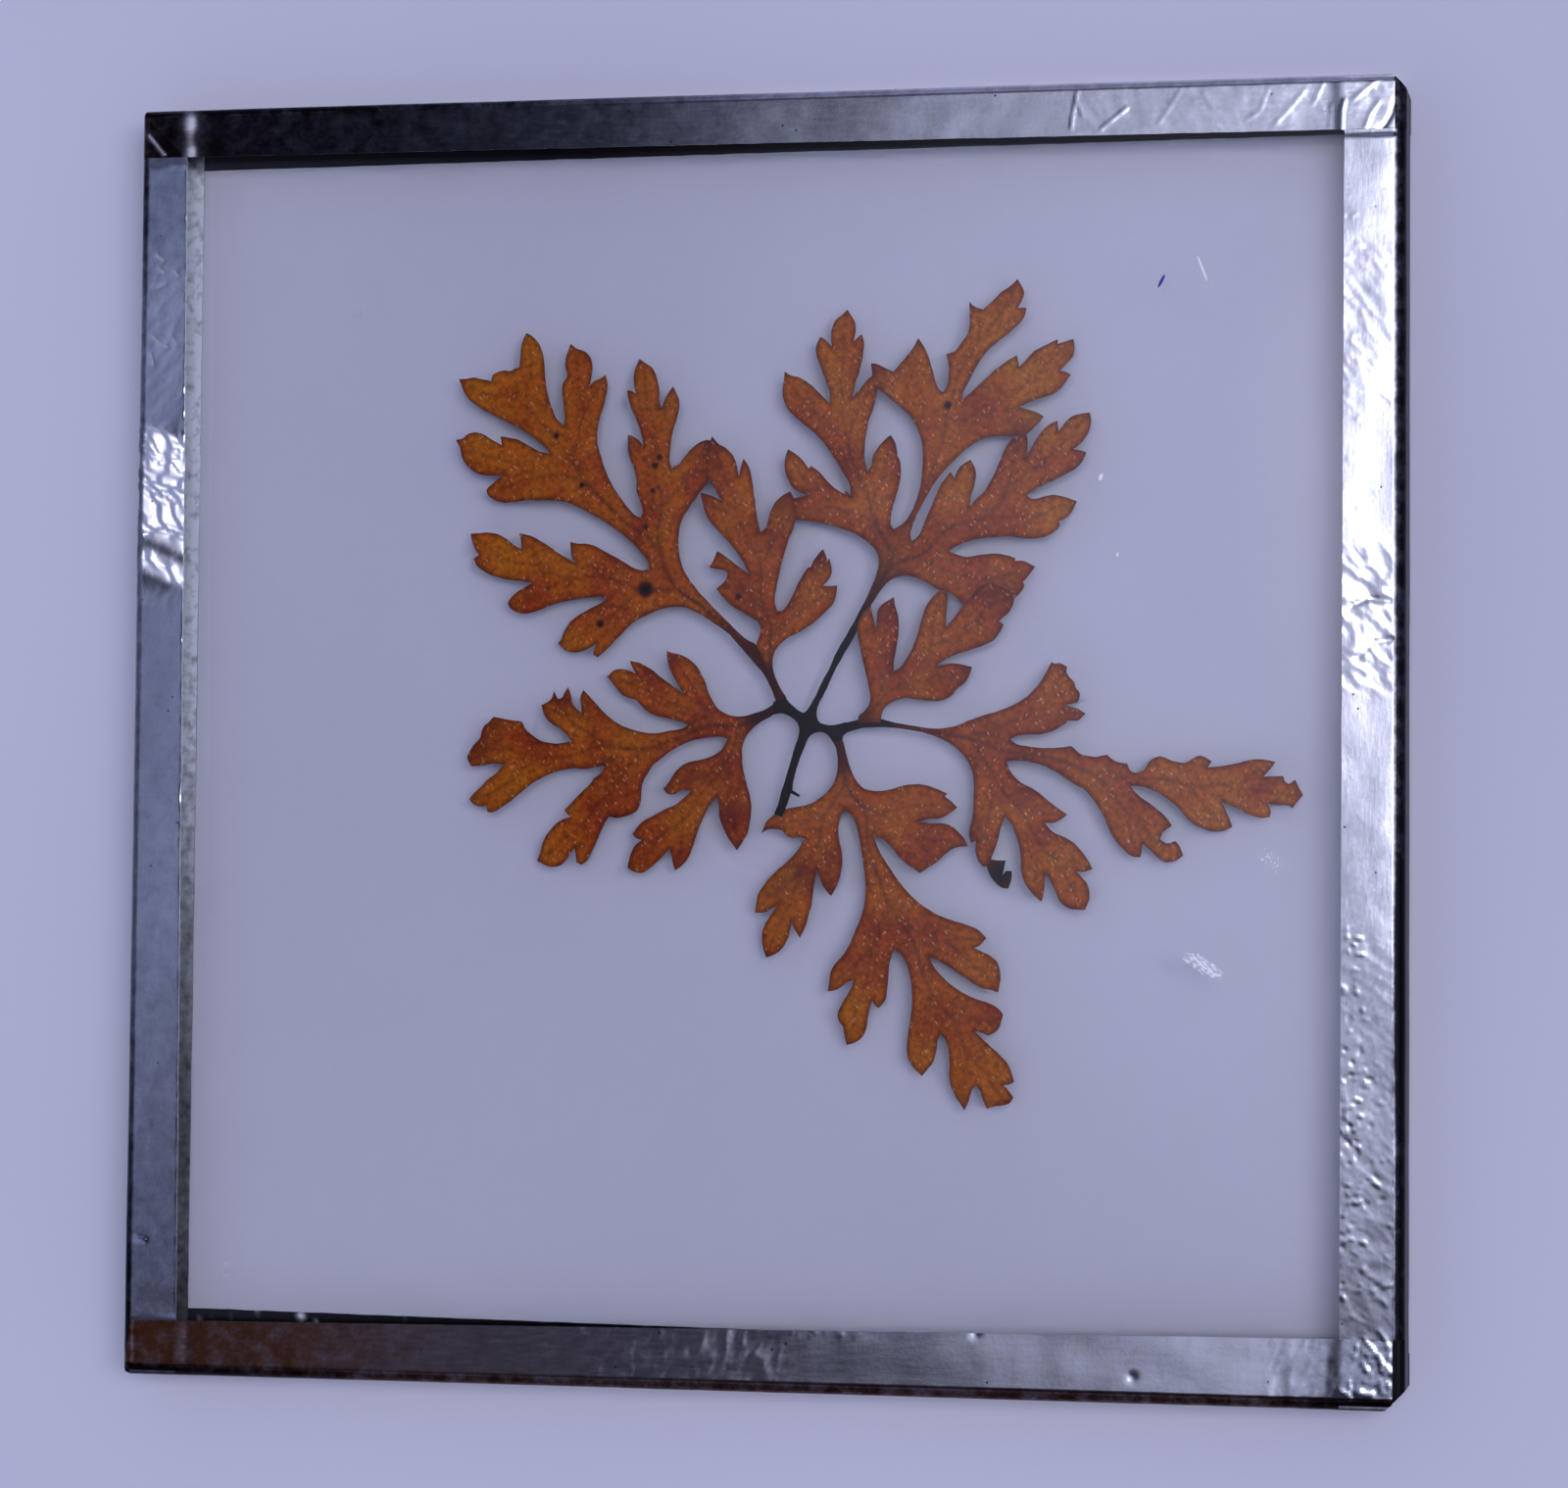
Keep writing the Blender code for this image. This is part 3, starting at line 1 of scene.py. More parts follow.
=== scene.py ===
"""A pressed leaf between two panes of glass, edged all round with folded metal foil tape: its looks.

The CAD frame gives every piece its place. The panes are kept and get their glass. The foil tape is drawn
out anew as thin creased sheet, and each leaflet is cut anew as a fine blade with veins and a thin margin.
Lengths are in millimetres, apart from the camera's place, which is in metres.
"""

import heapq
import math
import random
from functools import partial

import bmesh
import bpy
import numpy as np
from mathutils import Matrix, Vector, geometry, kdtree, noise


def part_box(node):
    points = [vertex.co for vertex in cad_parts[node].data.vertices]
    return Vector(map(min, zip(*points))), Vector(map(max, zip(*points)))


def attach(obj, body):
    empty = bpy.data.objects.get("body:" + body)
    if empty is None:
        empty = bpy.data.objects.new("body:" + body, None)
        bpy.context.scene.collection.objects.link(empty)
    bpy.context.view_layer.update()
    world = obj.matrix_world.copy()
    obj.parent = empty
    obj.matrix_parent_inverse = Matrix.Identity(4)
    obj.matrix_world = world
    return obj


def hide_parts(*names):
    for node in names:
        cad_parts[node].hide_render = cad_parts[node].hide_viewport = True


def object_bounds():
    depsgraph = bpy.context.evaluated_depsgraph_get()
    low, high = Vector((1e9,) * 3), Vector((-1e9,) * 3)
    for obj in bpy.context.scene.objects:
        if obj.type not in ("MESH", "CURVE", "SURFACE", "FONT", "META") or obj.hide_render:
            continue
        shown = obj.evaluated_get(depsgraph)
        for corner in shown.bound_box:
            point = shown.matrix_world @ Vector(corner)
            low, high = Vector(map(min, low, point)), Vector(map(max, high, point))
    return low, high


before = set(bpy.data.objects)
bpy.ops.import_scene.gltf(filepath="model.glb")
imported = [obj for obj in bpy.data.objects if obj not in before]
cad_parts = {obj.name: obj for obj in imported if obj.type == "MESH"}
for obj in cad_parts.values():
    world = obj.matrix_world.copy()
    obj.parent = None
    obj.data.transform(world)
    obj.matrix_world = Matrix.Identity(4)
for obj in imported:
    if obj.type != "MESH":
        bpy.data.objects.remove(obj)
cad_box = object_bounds()

MM = 0.001

# Without a seed of its own, the vector noise would shift with the clock from run to run
noise.seed_set(7)

# Sizes of the object that the looks are worked out from
HALF_SIDE = 50
FRONT_TOP = 5.2
BACK_BOTTOM = {"left": 0.2, "right": 0.2, "top": 0, "bottom": 0}
FRONT_WIDTHS = {"left": (4.45, 3.8), "right": (4.9, 4.65), "top": (3.85, 4.25), "bottom": (4.3, 5.4)}
BACK_WIDTHS = {"left": (4.2, 4.1), "right": (3.6, 3.8), "top": (4.4, 3.95), "bottom": (5.1, 4)}
FRONT_FOLDS = {"left": 0.55, "right": 0.85, "top": 0.55, "bottom": 0.85}
BACK_FOLD = 0.5
OVERLAP_STEP = 0.05
END_STEPS = {"top": (-46.9, -45.2, 44.1, 45.3), "bottom": (-46.3, -44.2, 44.1, 45.4)}
BLUNT_CORNERS = {(-1, 1): 0.3, (1, 1): 1.1, (1, -1): 1.6, (-1, -1): 0.45}
BLADE_THICKNESS = 0.12

# How finely the new pieces are made
TAPE_CELL = 0.16
LEAF_CELL = 0.17
LEAF_EDGE_STEP = 0.16


def linear(hex_colour):
    """An sRGB hex colour as linear red, green, blue and alpha."""
    channels = [int(hex_colour[i:i + 2], 16) / 255 for i in (1, 3, 5)]
    return tuple(c / 12.92 if c <= 0.04045 else ((c + 0.055) / 1.055) ** 2.4 for c in channels) + (1,)


def add_node(tree, kind, sockets, stops=None, **settings):
    """Add a shader node and return its outputs.

    sockets maps a socket's name or number to a value, or to the output that feeds it. A colour Mix node
    takes its two colours in sockets 6 and 7 and gives the mixture in output 2.
    """
    node = tree.nodes.new("ShaderNode" + kind)
    for name, value in settings.items():
        setattr(node, name, value)
    for socket, value in sockets.items():
        if isinstance(value, bpy.types.NodeSocket):
            tree.links.new(value, node.inputs[socket])
        else:
            node.inputs[socket].default_value = value
    if stops:
        elements = node.color_ramp.elements
        while len(elements) < len(stops):
            elements.new(0.5)
        for element, (position, colour) in zip(elements, stops):
            element.position = position
            element.color = linear(colour)
    return node.outputs


def new_material(name):
    """An empty node material, and the function that adds a node to it."""
    material = bpy.data.materials.new(name)
    material.use_nodes = True
    material.node_tree.nodes.clear()
    return material, partial(add_node, material.node_tree)


def select_nothing():
    """Leave edit mode and deselect every object, so that the next operator acts on its own piece alone."""
    if bpy.context.object and bpy.context.object.mode != "OBJECT":
        bpy.ops.object.mode_set(mode="OBJECT")
    bpy.ops.object.select_all(action="DESELECT")


def smooth_step(low, high, value):
    """0 below low, 1 above high, and an even curve between, for numbers or arrays."""
    t = np.clip((value - low) / (high - low), 0, 1)
    return t * t * (3 - 2 * t)


def mesh_points(mesh):
    """The mesh's points in millimetres, one row each."""
    points = np.empty(len(mesh.vertices) * 3)
    mesh.vertices.foreach_get("co", points)
    return points.reshape(-1, 3) / MM


def set_mesh_points(mesh, points):
    mesh.vertices.foreach_set("co", (points * MM).ravel())
    mesh.update()


def nearest_tree(points):
    """A tree that finds the nearest of the points, by their first two numbers."""
    tree = kdtree.KDTree(len(points))
    for index, point in enumerate(points):
        tree.insert((point[0], point[1], 0), index)
    tree.balance()
    return tree


def store(mesh, named_values):
    """Store numbers for each point, for the material to read."""
    for name, values in named_values.items():
        attribute = mesh.attributes.new(name, "FLOAT", "POINT")
        attribute.data.foreach_set("value", np.asarray(values, np.float32))


def thicken(piece, thickness, offset, group=""):
    """Give the open sheet its thickness, in the share that the group of points says."""
    wall = piece.modifiers.new("sheet", "SOLIDIFY")
    wall.thickness = thickness * MM
    wall.offset = offset
    wall.vertex_group = group
    select_nothing()
    piece.select_set(True)
    bpy.context.view_layer.objects.active = piece
    bpy.ops.object.modifier_apply(modifier=wall.name)


def settle(piece, node, material):
    """Give the finished piece its material and its body, and hide the CAD node that it stands for."""
    piece.data.materials.clear()
    piece.data.materials.append(material)
    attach(piece, "root")
    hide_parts(node)


# Camera: above the sheet and a little to its right, as in the photograph
CAMERA_PLACE = (0.07396, -0.0148, 0.34282)
CAMERA_TURN = (3.2138, 11.8997, 0.5092)
camera_data = bpy.data.cameras.new("camera")
camera_data.sensor_width = 36
camera_data.lens = 103.5
camera_data.shift_y = -0.0369
camera = bpy.data.objects.new("camera", camera_data)
camera.location = CAMERA_PLACE
camera.rotation_euler = tuple(math.radians(angle) for angle in CAMERA_TURN)
bpy.context.scene.collection.objects.link(camera)
bpy.context.scene.camera = camera
bpy.context.scene.view_settings.view_transform = "Standard"
bpy.context.scene.cycles.blur_glossy = 0
bpy.context.scene.cycles.diffuse_bounces = 2
bpy.context.scene.cycles.glossy_bounces = 3


# Studio light: one broad soft lamp overhead to the right, in a dim room whose walls are a little lighter
LAMP = {"middle": (0.49, 0.105), "half_size": (0.6, 0.27)}


def studio_light():
    """The light of each direction. The lamp is an oval, measured on a level plane overhead."""
    world = bpy.data.worlds.new("studio")
    world.use_nodes = True
    world.node_tree.nodes.clear()
    add = partial(add_node, world.node_tree)
    direction = add("TexCoord", {})["Generated"]
    upward = add("SeparateXYZ", {0: direction})["Z"]
    lifted = add("Math", {0: upward, 1: 0.05}, operation="MAXIMUM")[0]
    reach = add("Math", {0: 1, 1: lifted}, operation="DIVIDE")[0]
    overhead = add("VectorMath", {0: direction, "Scale": reach}, operation="SCALE")[0]
    (middle_x, middle_y), (half_x, half_y) = LAMP["middle"], LAMP["half_size"]
    oval = add(
        "Mapping",
        {
            "Vector": overhead, "Location": (-middle_x / half_x, -middle_y / half_y, 0),
            "Scale": (1 / half_x, 1 / half_y, 0),
        },
    )[0]
    distance = add("VectorMath", {0: oval}, operation="LENGTH")["Value"]
    light = None
    for source, near, far, colour in (
        (upward, math.cos(math.radians(32)), math.cos(math.radians(13)), (0.03, 0.03, 0.05, 1)),
        (distance, 1.3, 1.02, (0.44, 0.46, 0.64, 1)),
        (distance, 1.01, 0.92, (1, 1, 1.25, 1)),
        (distance, 0.97, 0.82, (4.7, 4.65, 5.6, 1)),
    ):
        share = add(
            "MapRange", {"Value": source, "From Min": near, "From Max": far},
            interpolation_type="SMOOTHSTEP",
        )[0]
        below = light or (0.25, 0.28, 0.47, 1)
        light = add("Mix", {0: share, 6: below, 7: colour}, data_type="RGBA")[2]
    background = add("Background", {"Color": light, "Strength": 1})
    add("OutputWorld", {"Surface": background[0]})
    bpy.context.scene.world = world


studio_light()


# Floor: a plain pale painted board
def painted_board():
    """Matt paint: one pale tone with a faint unevenness as broad as a hand, and no shine."""
    material, add = new_material("matt_painted_board")
    place = add("TexCoord", {})["Object"]
    cloudy = add("TexNoise", {"Vector": place, "Scale": 9, "Detail": 2})
    tone = add("ValToRGB", {"Fac": cloudy["Fac"]}, stops=[(0.3, "#CFCFDA"), (0.7, "#D6D6E0")])
    shader = add("BsdfPrincipled", {"Base Color": tone["Color"], "Roughness": 0.85})
    add("OutputMaterial", {"Surface": shader[0]})
    return material


select_nothing()
bpy.ops.mesh.primitive_plane_add(size=1.6, location=(0, 0, 0))
floor = bpy.context.object
floor.name = "floor"
floor.data.materials.append(painted_board())


# Glass: thin float glass with a faint green cast, cleaned by hand
def marked_place(add, place, x, y, z, half_length, half_width, turn, edge):
    """A share of 1 within an oval spot on the pane, falling to 0 at its rim."""
    spot = add(
        "Mapping",
        {
            "Vector": place, "Location": (x * MM, y * MM, z * MM), "Rotation": (0, 0, math.radians(turn)),
            "Scale": (half_length * MM, half_width * MM, 0.5 * MM),
        },
        vector_type="TEXTURE",
    )
    distance = add("VectorMath", {0: spot[0]}, operation="LENGTH")
    share = add(
        "MapRange", {"Value": distance["Value"], "From Min": 1, "From Max": edge},
        interpolation_type="SMOOTHSTEP",
    )
    return spot[0], share[0]


def float_glass(name, top, smears, marks):
    """Float glass, made on molten tin and cut: clear, a little green in its depth, with wiped streaks,
    smudges, specks and lint on its upper face.

    smears lists patches of fine pale ripples: (x, y, half length, half width, turn, how sparse).
    marks lists small marks: (x, y, half length, half width, turn, strength, colour).
    """
    material, add = new_material(name)
    place = add("TexCoord", {})["Object"]
    dirt = 0
    for x, y, half_length, half_width, turn, sparse in smears:
        spot, share = marked_place(add, place, x, y, top, half_length, half_width, turn, 0)
        ripples = add(
            "TexNoise",
            {"Vector": spot, "Scale": half_width * 7, "Detail": 3, "Roughness": 0.6, "Distortion": 0.4},
        )
        near = add("Math", {0: share, 1: 0.5, 2: 0.5}, operation="MULTIPLY_ADD")[0]
        level = add("Math", {0: ripples["Fac"], 1: near}, operation="MULTIPLY")[0]
        streaks = add("MapRange", {"Value": level, "From Min": sparse, "From Max": sparse + 0.02})[0]
        dirt = add("Math", {0: dirt, 1: streaks}, operation="MAXIMUM")[0]
    tint = linear("#FFFFFF")
    for x, y, half_length, half_width, turn, strength, colour in marks:
        _, share = marked_place(add, place, x, y, top, half_length, half_width, turn, 0.8)
        solid = add("Math", {0: share, 1: strength}, operation="MULTIPLY")[0]
        dirt = add("Math", {0: dirt, 1: solid}, operation="MAXIMUM")[0]
        tinting = share if strength > 0.5 else solid
        tint = add("Mix", {0: tinting, 6: tint, 7: linear(colour)}, data_type="RGBA")[2]
    clear = add("MapRange", {"Value": dirt, "To Min": 1, "To Max": 0})[0]
    shader = add(
        "BsdfPrincipled", {"Base Color": tint, "Roughness": 0, "IOR": 1.52, "Transmission Weight": clear}
    )
    depth = add("VolumeAbsorption", {"Color": linear("#D2E6E0"), "Density": 2})
    add("OutputMaterial", {"Surface": shader[0], "Volume": depth[0]})
    return material


FRONT_SMEARS = [(34.9, -17.1, 3.6, 1.2, -31, 0.42), (40, -9.2, 3.4, 2.4, -35, 0.53)]
FRONT_MARKS = [
    (31.55, 34.6, 0.6, 0.13, 63, 0.85, "#2A2E96"),
    (34.65, 35.5, 1.25, 0.1, -69, 1, "#FFFFFF"),
    (-41.5, -41.45, 0.42, 0.5, 0, 0.16, "#6E6470"),
    (-41.55, -42, 0.25, 0.7, 0, 0.12, "#6E6470"),
    (27, 19.75, 0.34, 0.15, 70, 1, "#FFFFFF"),
    (28.3, 13.85, 0.22, 0.1, 80, 1, "#FFFFFF"),
    (-31.9, 33.5, 0.3, 0.26, 0, 0.2, "#4A4A60"),
]


for node, smears, marks in (("front_glass", FRONT_SMEARS, FRONT_MARKS), ("back_glass", [], [])):
    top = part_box(node)[1].z / MM
    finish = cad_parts[node].data.materials
    finish.clear()
    finish.append(float_glass("wiped_float_glass_" + node.split("_")[0], top, smears, marks))


# Foil tape: the shape
SKIN_INSET = 0.05
SHEET_THICKNESS = 0.09
EDGE_ROLL = 0.1

# How far the sheet may stand off its smooth shape, inward and outward: on its walls, and on its front
WALL_PLAY = (-0.06, 0.046)
FRONT_PLAY = (-0.12, 0.19)
TURNS = {"top": 0, "left": 90, "bottom": 180, "right": -90}


def spread(start, end, step):
    """Even stops from start to end, about a step apart, without the first."""
    count = max(1, round(abs(end - start) / step))
    return [start + (end - start) * i / count for i in range(1, count + 1)]


def round_fold(out, up, radius, angles):
    """Rows of the tape's profile round a fold, about the middle that is given."""
    ways = [(math.cos(math.radians(angle)), math.sin(math.radians(angle))) for angle in angles]
    return [(out + radius * c, up + radius * s, c, s) for c, s in ways]


def tape_profile(side):
    """The tape seen from its end, from the front edge over the fold and wall to the back edge.

    Each row is (outward distance, height, outward share of the surface's direction, upward share).
    """
    outer = HALF_SIDE - SKIN_INSET
    front_fold = FRONT_FOLDS[side]
    top = FRONT_TOP - SKIN_INSET
    bottom = BACK_BOTTOM[side] + SKIN_INSET
    front_turn = outer - front_fold
    back_turn = outer - BACK_FOLD
    inner_edge = HALF_SIDE - FRONT_WIDTHS[side][0]
    rows = [(inner_edge, top, 0, 1), (inner_edge + EDGE_ROLL, top, 0, 1)]
    rows += [(o, top, 0, 1) for o in spread(inner_edge + EDGE_ROLL, front_turn, TAPE_CELL)]
    rows += round_fold(front_turn, top - front_fold, front_fold, spread(90, 0, 15))
    rows += [(outer, h, 1, 0) for h in spread(top - front_fold, bottom + BACK_FOLD, 0.3)]
    rows += round_fold(back_turn, bottom + BACK_FOLD, BACK_FOLD, spread(0, -90, 22.5))
    back_edge = HALF_SIDE - BACK_WIDTHS[side][0]
    rows += [(o, bottom, 0, -1) for o in spread(back_turn, back_edge, 0.35)]
    return np.array(rows)


def draw_out_tape(side, rows, half_length):
    """A row of short edges as long as the tape, extruded from row to row of the profile."""
    select_nothing()
    segments = round(2 * half_length / TAPE_CELL)
    middle = float((rows[0, 0] - half_length) * MM)
    bpy.ops.mesh.primitive_grid_add(
        x_subdivisions=segments, y_subdivisions=1, size=2 * half_length * MM,
        location=(0, middle, rows[0, 1] * MM),
    )
    tape = bpy.context.object
    tape.name = "folded_foil_" + side
    bpy.ops.object.transform_apply(location=True)
    far_row = [vertex.co.y < middle for vertex in tape.data.vertices]
    bpy.ops.object.mode_set(mode="EDIT")
    bpy.ops.mesh.select_mode(type="VERT")
    bpy.ops.mesh.select_all(action="DESELECT")
    bpy.ops.object.mode_set(mode="OBJECT")
    tape.data.vertices.foreach_set("select", far_row)
    bpy.ops.object.mode_set(mode="EDIT")
    bpy.ops.mesh.delete(type="VERT")
    bpy.ops.mesh.select_all(action="SELECT")
    for step in np.diff(rows[:, :2], axis=0):
        bpy.ops.mesh.extrude_edges_move(TRANSFORM_OT_translate={"value": (0, step[0] * MM, step[1] * MM)})
    bpy.ops.mesh.select_all(action="SELECT")
    bpy.ops.mesh.normals_make_consistent(inside=False)
    bpy.ops.object.mode_set(mode="OBJECT")
    return tape


def stretch(start, end, blend, value):
    """1 between start and end, falling evenly to 0 over the blend past each of them."""
    return smooth_step(start - blend, start, value) * (1 - smooth_step(end, end + blend, value))


def row_of_points(points, rows):
    """The profile row that each point of the straight tape lies on."""
    tree = nearest_tree(rows)
    return np.array([tree.find((p[1], p[2], 0))[1] for p in points])


def near_line(points, line):
    """Each point's distance from the open line through the listed places, seen from the front."""
    best = np.full(len(points), 1e9)
    for (x0, y0), (x1, y1) in zip(line[:-1], line[1:]):
        along = np.array((x1 - x0, y1 - y0))
        away = points[:, :2] - (x0, y0)
        share = np.clip(away @ along / (along @ along), 0, 1)
        best = np.minimum(best, np.linalg.norm(away - share[:, None] * along, axis=1))
    return best


def near_spot(points, x, y, radius, sharpness=2):
    """1 at the middle of a soft round spot, falling to 0 past its radius, for each point."""
    gap = np.hypot(points[:, 0] - x, points[:, 1] - y) / radius
    return np.exp(-gap ** sharpness)


# How far the front of the tape sinks from its inner edge to the fold
SLOPES = {"left": 0.17, "right": 0.0, "top": 0.0, "bottom": -0.14}

# Stretches bent up toward the fold instead: (side, from, to, rise)
BENT = [("left", 12, 24, 0.1)]

# Creases pressed into the front of the tape: (line, height, width)
CREASES = [
    ([(-49.4, 48), (-48, 46.3)], 0.06, 0.12),
    ([(-49.7, 49.4), (-46.6, 46.3)], -0.04, 0.15),
    ([(-45.95, 49.2), (-46.1, 48.3)], 0.02, 0.5),
    ([(-45.9, 47), (-45.85, 46.2)], 0.02, 0.45),
    ([(45.1, 45.8), (45.15, 47.2), (45.35, 48)], 0.025, 0.1),
    ([(44.25, 45.9), (44.3, 47.6)], 0.012, 0.1),
    ([(46, 48), (47.2, 49), (48, 49.6)], 0.012, 0.14),
    ([(46.9, 45.9), (47.3, 46.9), (47.9, 47.8)], 0.012, 0.15),
    ([(43, 47.8), (43.5, 48.8), (43.8, 49.6)], 0.008, 0.12),
    ([(40.2, 46.4), (41.4, 47.7), (42.4, 48.9)], 0.007, 0.14),
    ([(47.6, 45.4), (48.4, 46), (48.9, 46.9), (49.1, 47.8)], -0.03, 0.13),
    ([(47, -44.6), (47.2, -44.9), (49, -47)], 0.018, 0.12),
    ([(48.1, -44), (48.6, -44.7), (48.8, -45.5)], 0.015, 0.16),
    ([(48.2, -46.3), (48.7, -46.9), (49.3, -47.2)], 0.015, 0.16),
    ([(46.6, -48.6), (47.5, -48.7)], 0.03, 0.16),
    ([(45.2, -48.5), (45.8, -48.7)], 0.03, 0.16),
    ([(-48.95, -39.3), (-48.3, -39.45)], 0.07, 0.18),
    ([(-49.2, -46.2), (-49.05, -47.4), (-48.9, -48.6)], 0.012, 0.3),
    ([(-45.2, -46), (-45.05, -47.4), (-45.2, -48.8)], 0.012, 0.45),
    ([(24.6, 46.4), (24.75, 47.6), (25.1, 49.3)], 0.015, 0.1),
    ([(25.1, 48.4), (25.5, 47.3)], 0.012, 0.1),
    ([(26.9, 46.3), (28.9, 47.9)], 0.015, 0.1),
    ([(31.2, 46.5), (32.2, 47.9), (33, 49.2)], 0.006, 0.14),
    ([(34.6, 48.9), (35.4, 47.6)], 0.006, 0.12),
    ([(38, 46.7), (39, 47.4), (39.6, 49)], 0.006, 0.14),
    ([(46, 9.9), (47.2, 10.4), (48.8, 10.2)], -0.03, 0.25),
    ([(46.4, 6), (47.6, 7.1), (48.9, 7.3)], -0.022, 0.22),
]

# Short bright scrapes on the left tape, creased as well as rubbed and lightened as a painted highlight
SCRAPES = [
    [(-48.95, 31.9), (-48.3, 31.3)], [(-48.2, 31.2), (-47.6, 31)], [(-47.2, 31.7), (-46.9, 31.2)],
    [(-49.05, 30.5), (-48.8, 29.6)], [(-48.6, 38.3), (-48.1, 37.9)], [(-48.4, 37.2), (-48, 36.9)],
    [(-47.1, 37), (-46.8, 36.6)], [(-48.5, 35.8), (-47.9, 36.1)],
]
CREASES += [(line, 0.012, 0.2) for line in SCRAPES]

# Dents and blisters: (x, y, radius, height)
DENTS = [
    (47.2, 11.4, 0.8, -0.03), (46.2, 6.6, 0.8, 0.025), (47.9, 4.9, 0.6, -0.02), (29.7, -47.9, 0.35, -0.03),
    (17.8, -45, 0.35, -0.03),
]

# How crumpled the tape is: (side, from, to, height of the crumples), measured along the tape
CRUMPLED = [
    ("left", 12, 24, 0.03), ("left", 26, 37, 0.014), ("right", 5, 13, 0.03), ("right", 26, 36, 0.012),
    ("right", -50, -16, 0.01), ("bottom", -12, 2, 0.03), ("bottom", 41, 50, 0.022), ("top", 26, 50, 0.012),
]

# Where the tape is gathered in slanting pleats that face the light: (side, from, to, height of the pleats)
PLEATED = [("left", 16.1, 24.2, 0.24), ("left", 13.3, 14.3, 0.24)]

# Blisters and pits, scattered in a seeded draw: (number, greatest height, x from, x to, y from, y to)
PITTED = [
    (70, 0.018, 45.2, 47, -43.8, -14), (40, 0.012, 46.8, 48.9, -43.8, -24), (12, 0.01, 45.4, 46.6, 12, 40),
    (45, 0.024, 45.6, 49.2, -48.9, -45), (10, 0.01, 2, 12, -45.6, -45.1),
]
PIT_DRAW = random.Random(12)
for number, highest, x_low, x_high, y_low, y_high in PITTED:
    for _ in range(number):
        x = PIT_DRAW.uniform(x_low, x_high)
        y = PIT_DRAW.uniform(y_low, y_high)
        turn = PIT_DRAW.uniform(0, math.pi)
        reach = PIT_DRAW.uniform(0.03, 0.3)
        ends = [(x + way * reach * math.cos(turn), y + way * reach * math.sin(turn)) for way in (-1, 1)]
        rise = PIT_DRAW.choice((-1, 1, 1)) * PIT_DRAW.uniform(0.3, 1) * highest
        CREASES.append((ends, rise, PIT_DRAW.uniform(0.09, 0.15)))


def crumple(side, place, across):
    """How high the tape stands off its smooth shape at a place, from broad swells to fine crinkles."""
    seed = 7.3 * (1 + list(TURNS).index(side))
    swell = noise.noise((place / 9, across / 5, seed)) * 0.025
    lump = noise.noise((place / 2.6, across / 2.2, seed + 3)) * 0.008
    strength = 0
    for where, start, end, height in CRUMPLED:
        if where == side:
            strength = max(strength, height * float(stretch(start, end, 2.5, place)))
    height = swell + lump
    for where, start, end, rise in PLEATED:
        if where == side and start - 1 < place < end + 1:
            slanted = place - 0.4 * across + 0.9 * noise.noise((place / 1.6, across / 2.2, seed + 5))
            row, within = divmod(slanted / 0.7, 1)
            shifts = [noise.noise((number * 3.7, seed, 0.5)) for number in (row, row + 1)]
            blend = float(smooth_step(0.6, 1, within))
            phase = across / 1.9 + 1.7 * (shifts[0] + (shifts[1] - shifts[0]) * blend)
            phase -= math.floor(phase)
            pleat = phase / 0.78 if phase < 0.78 else (1 - phase) / 0.22
            inside = stretch(start - 0.8, end - 1.4, 0.8, slanted)
            uneven = 0.85 + 0.7 * noise.noise((place / 0.9, across / 1.6, seed + 6))
            height += rise * (pleat - 0.5) * float(inside) * uneven
    if strength == 0:
        return height
    slant = place + 0.7 * across
    folds = noise.ridged_multi_fractal((slant / 1.3, across / 2.0, seed + 9.0), 1.0, 2.1, 3, 1.0, 2.0)
    return height + strength * (folds - 1) * 0.55


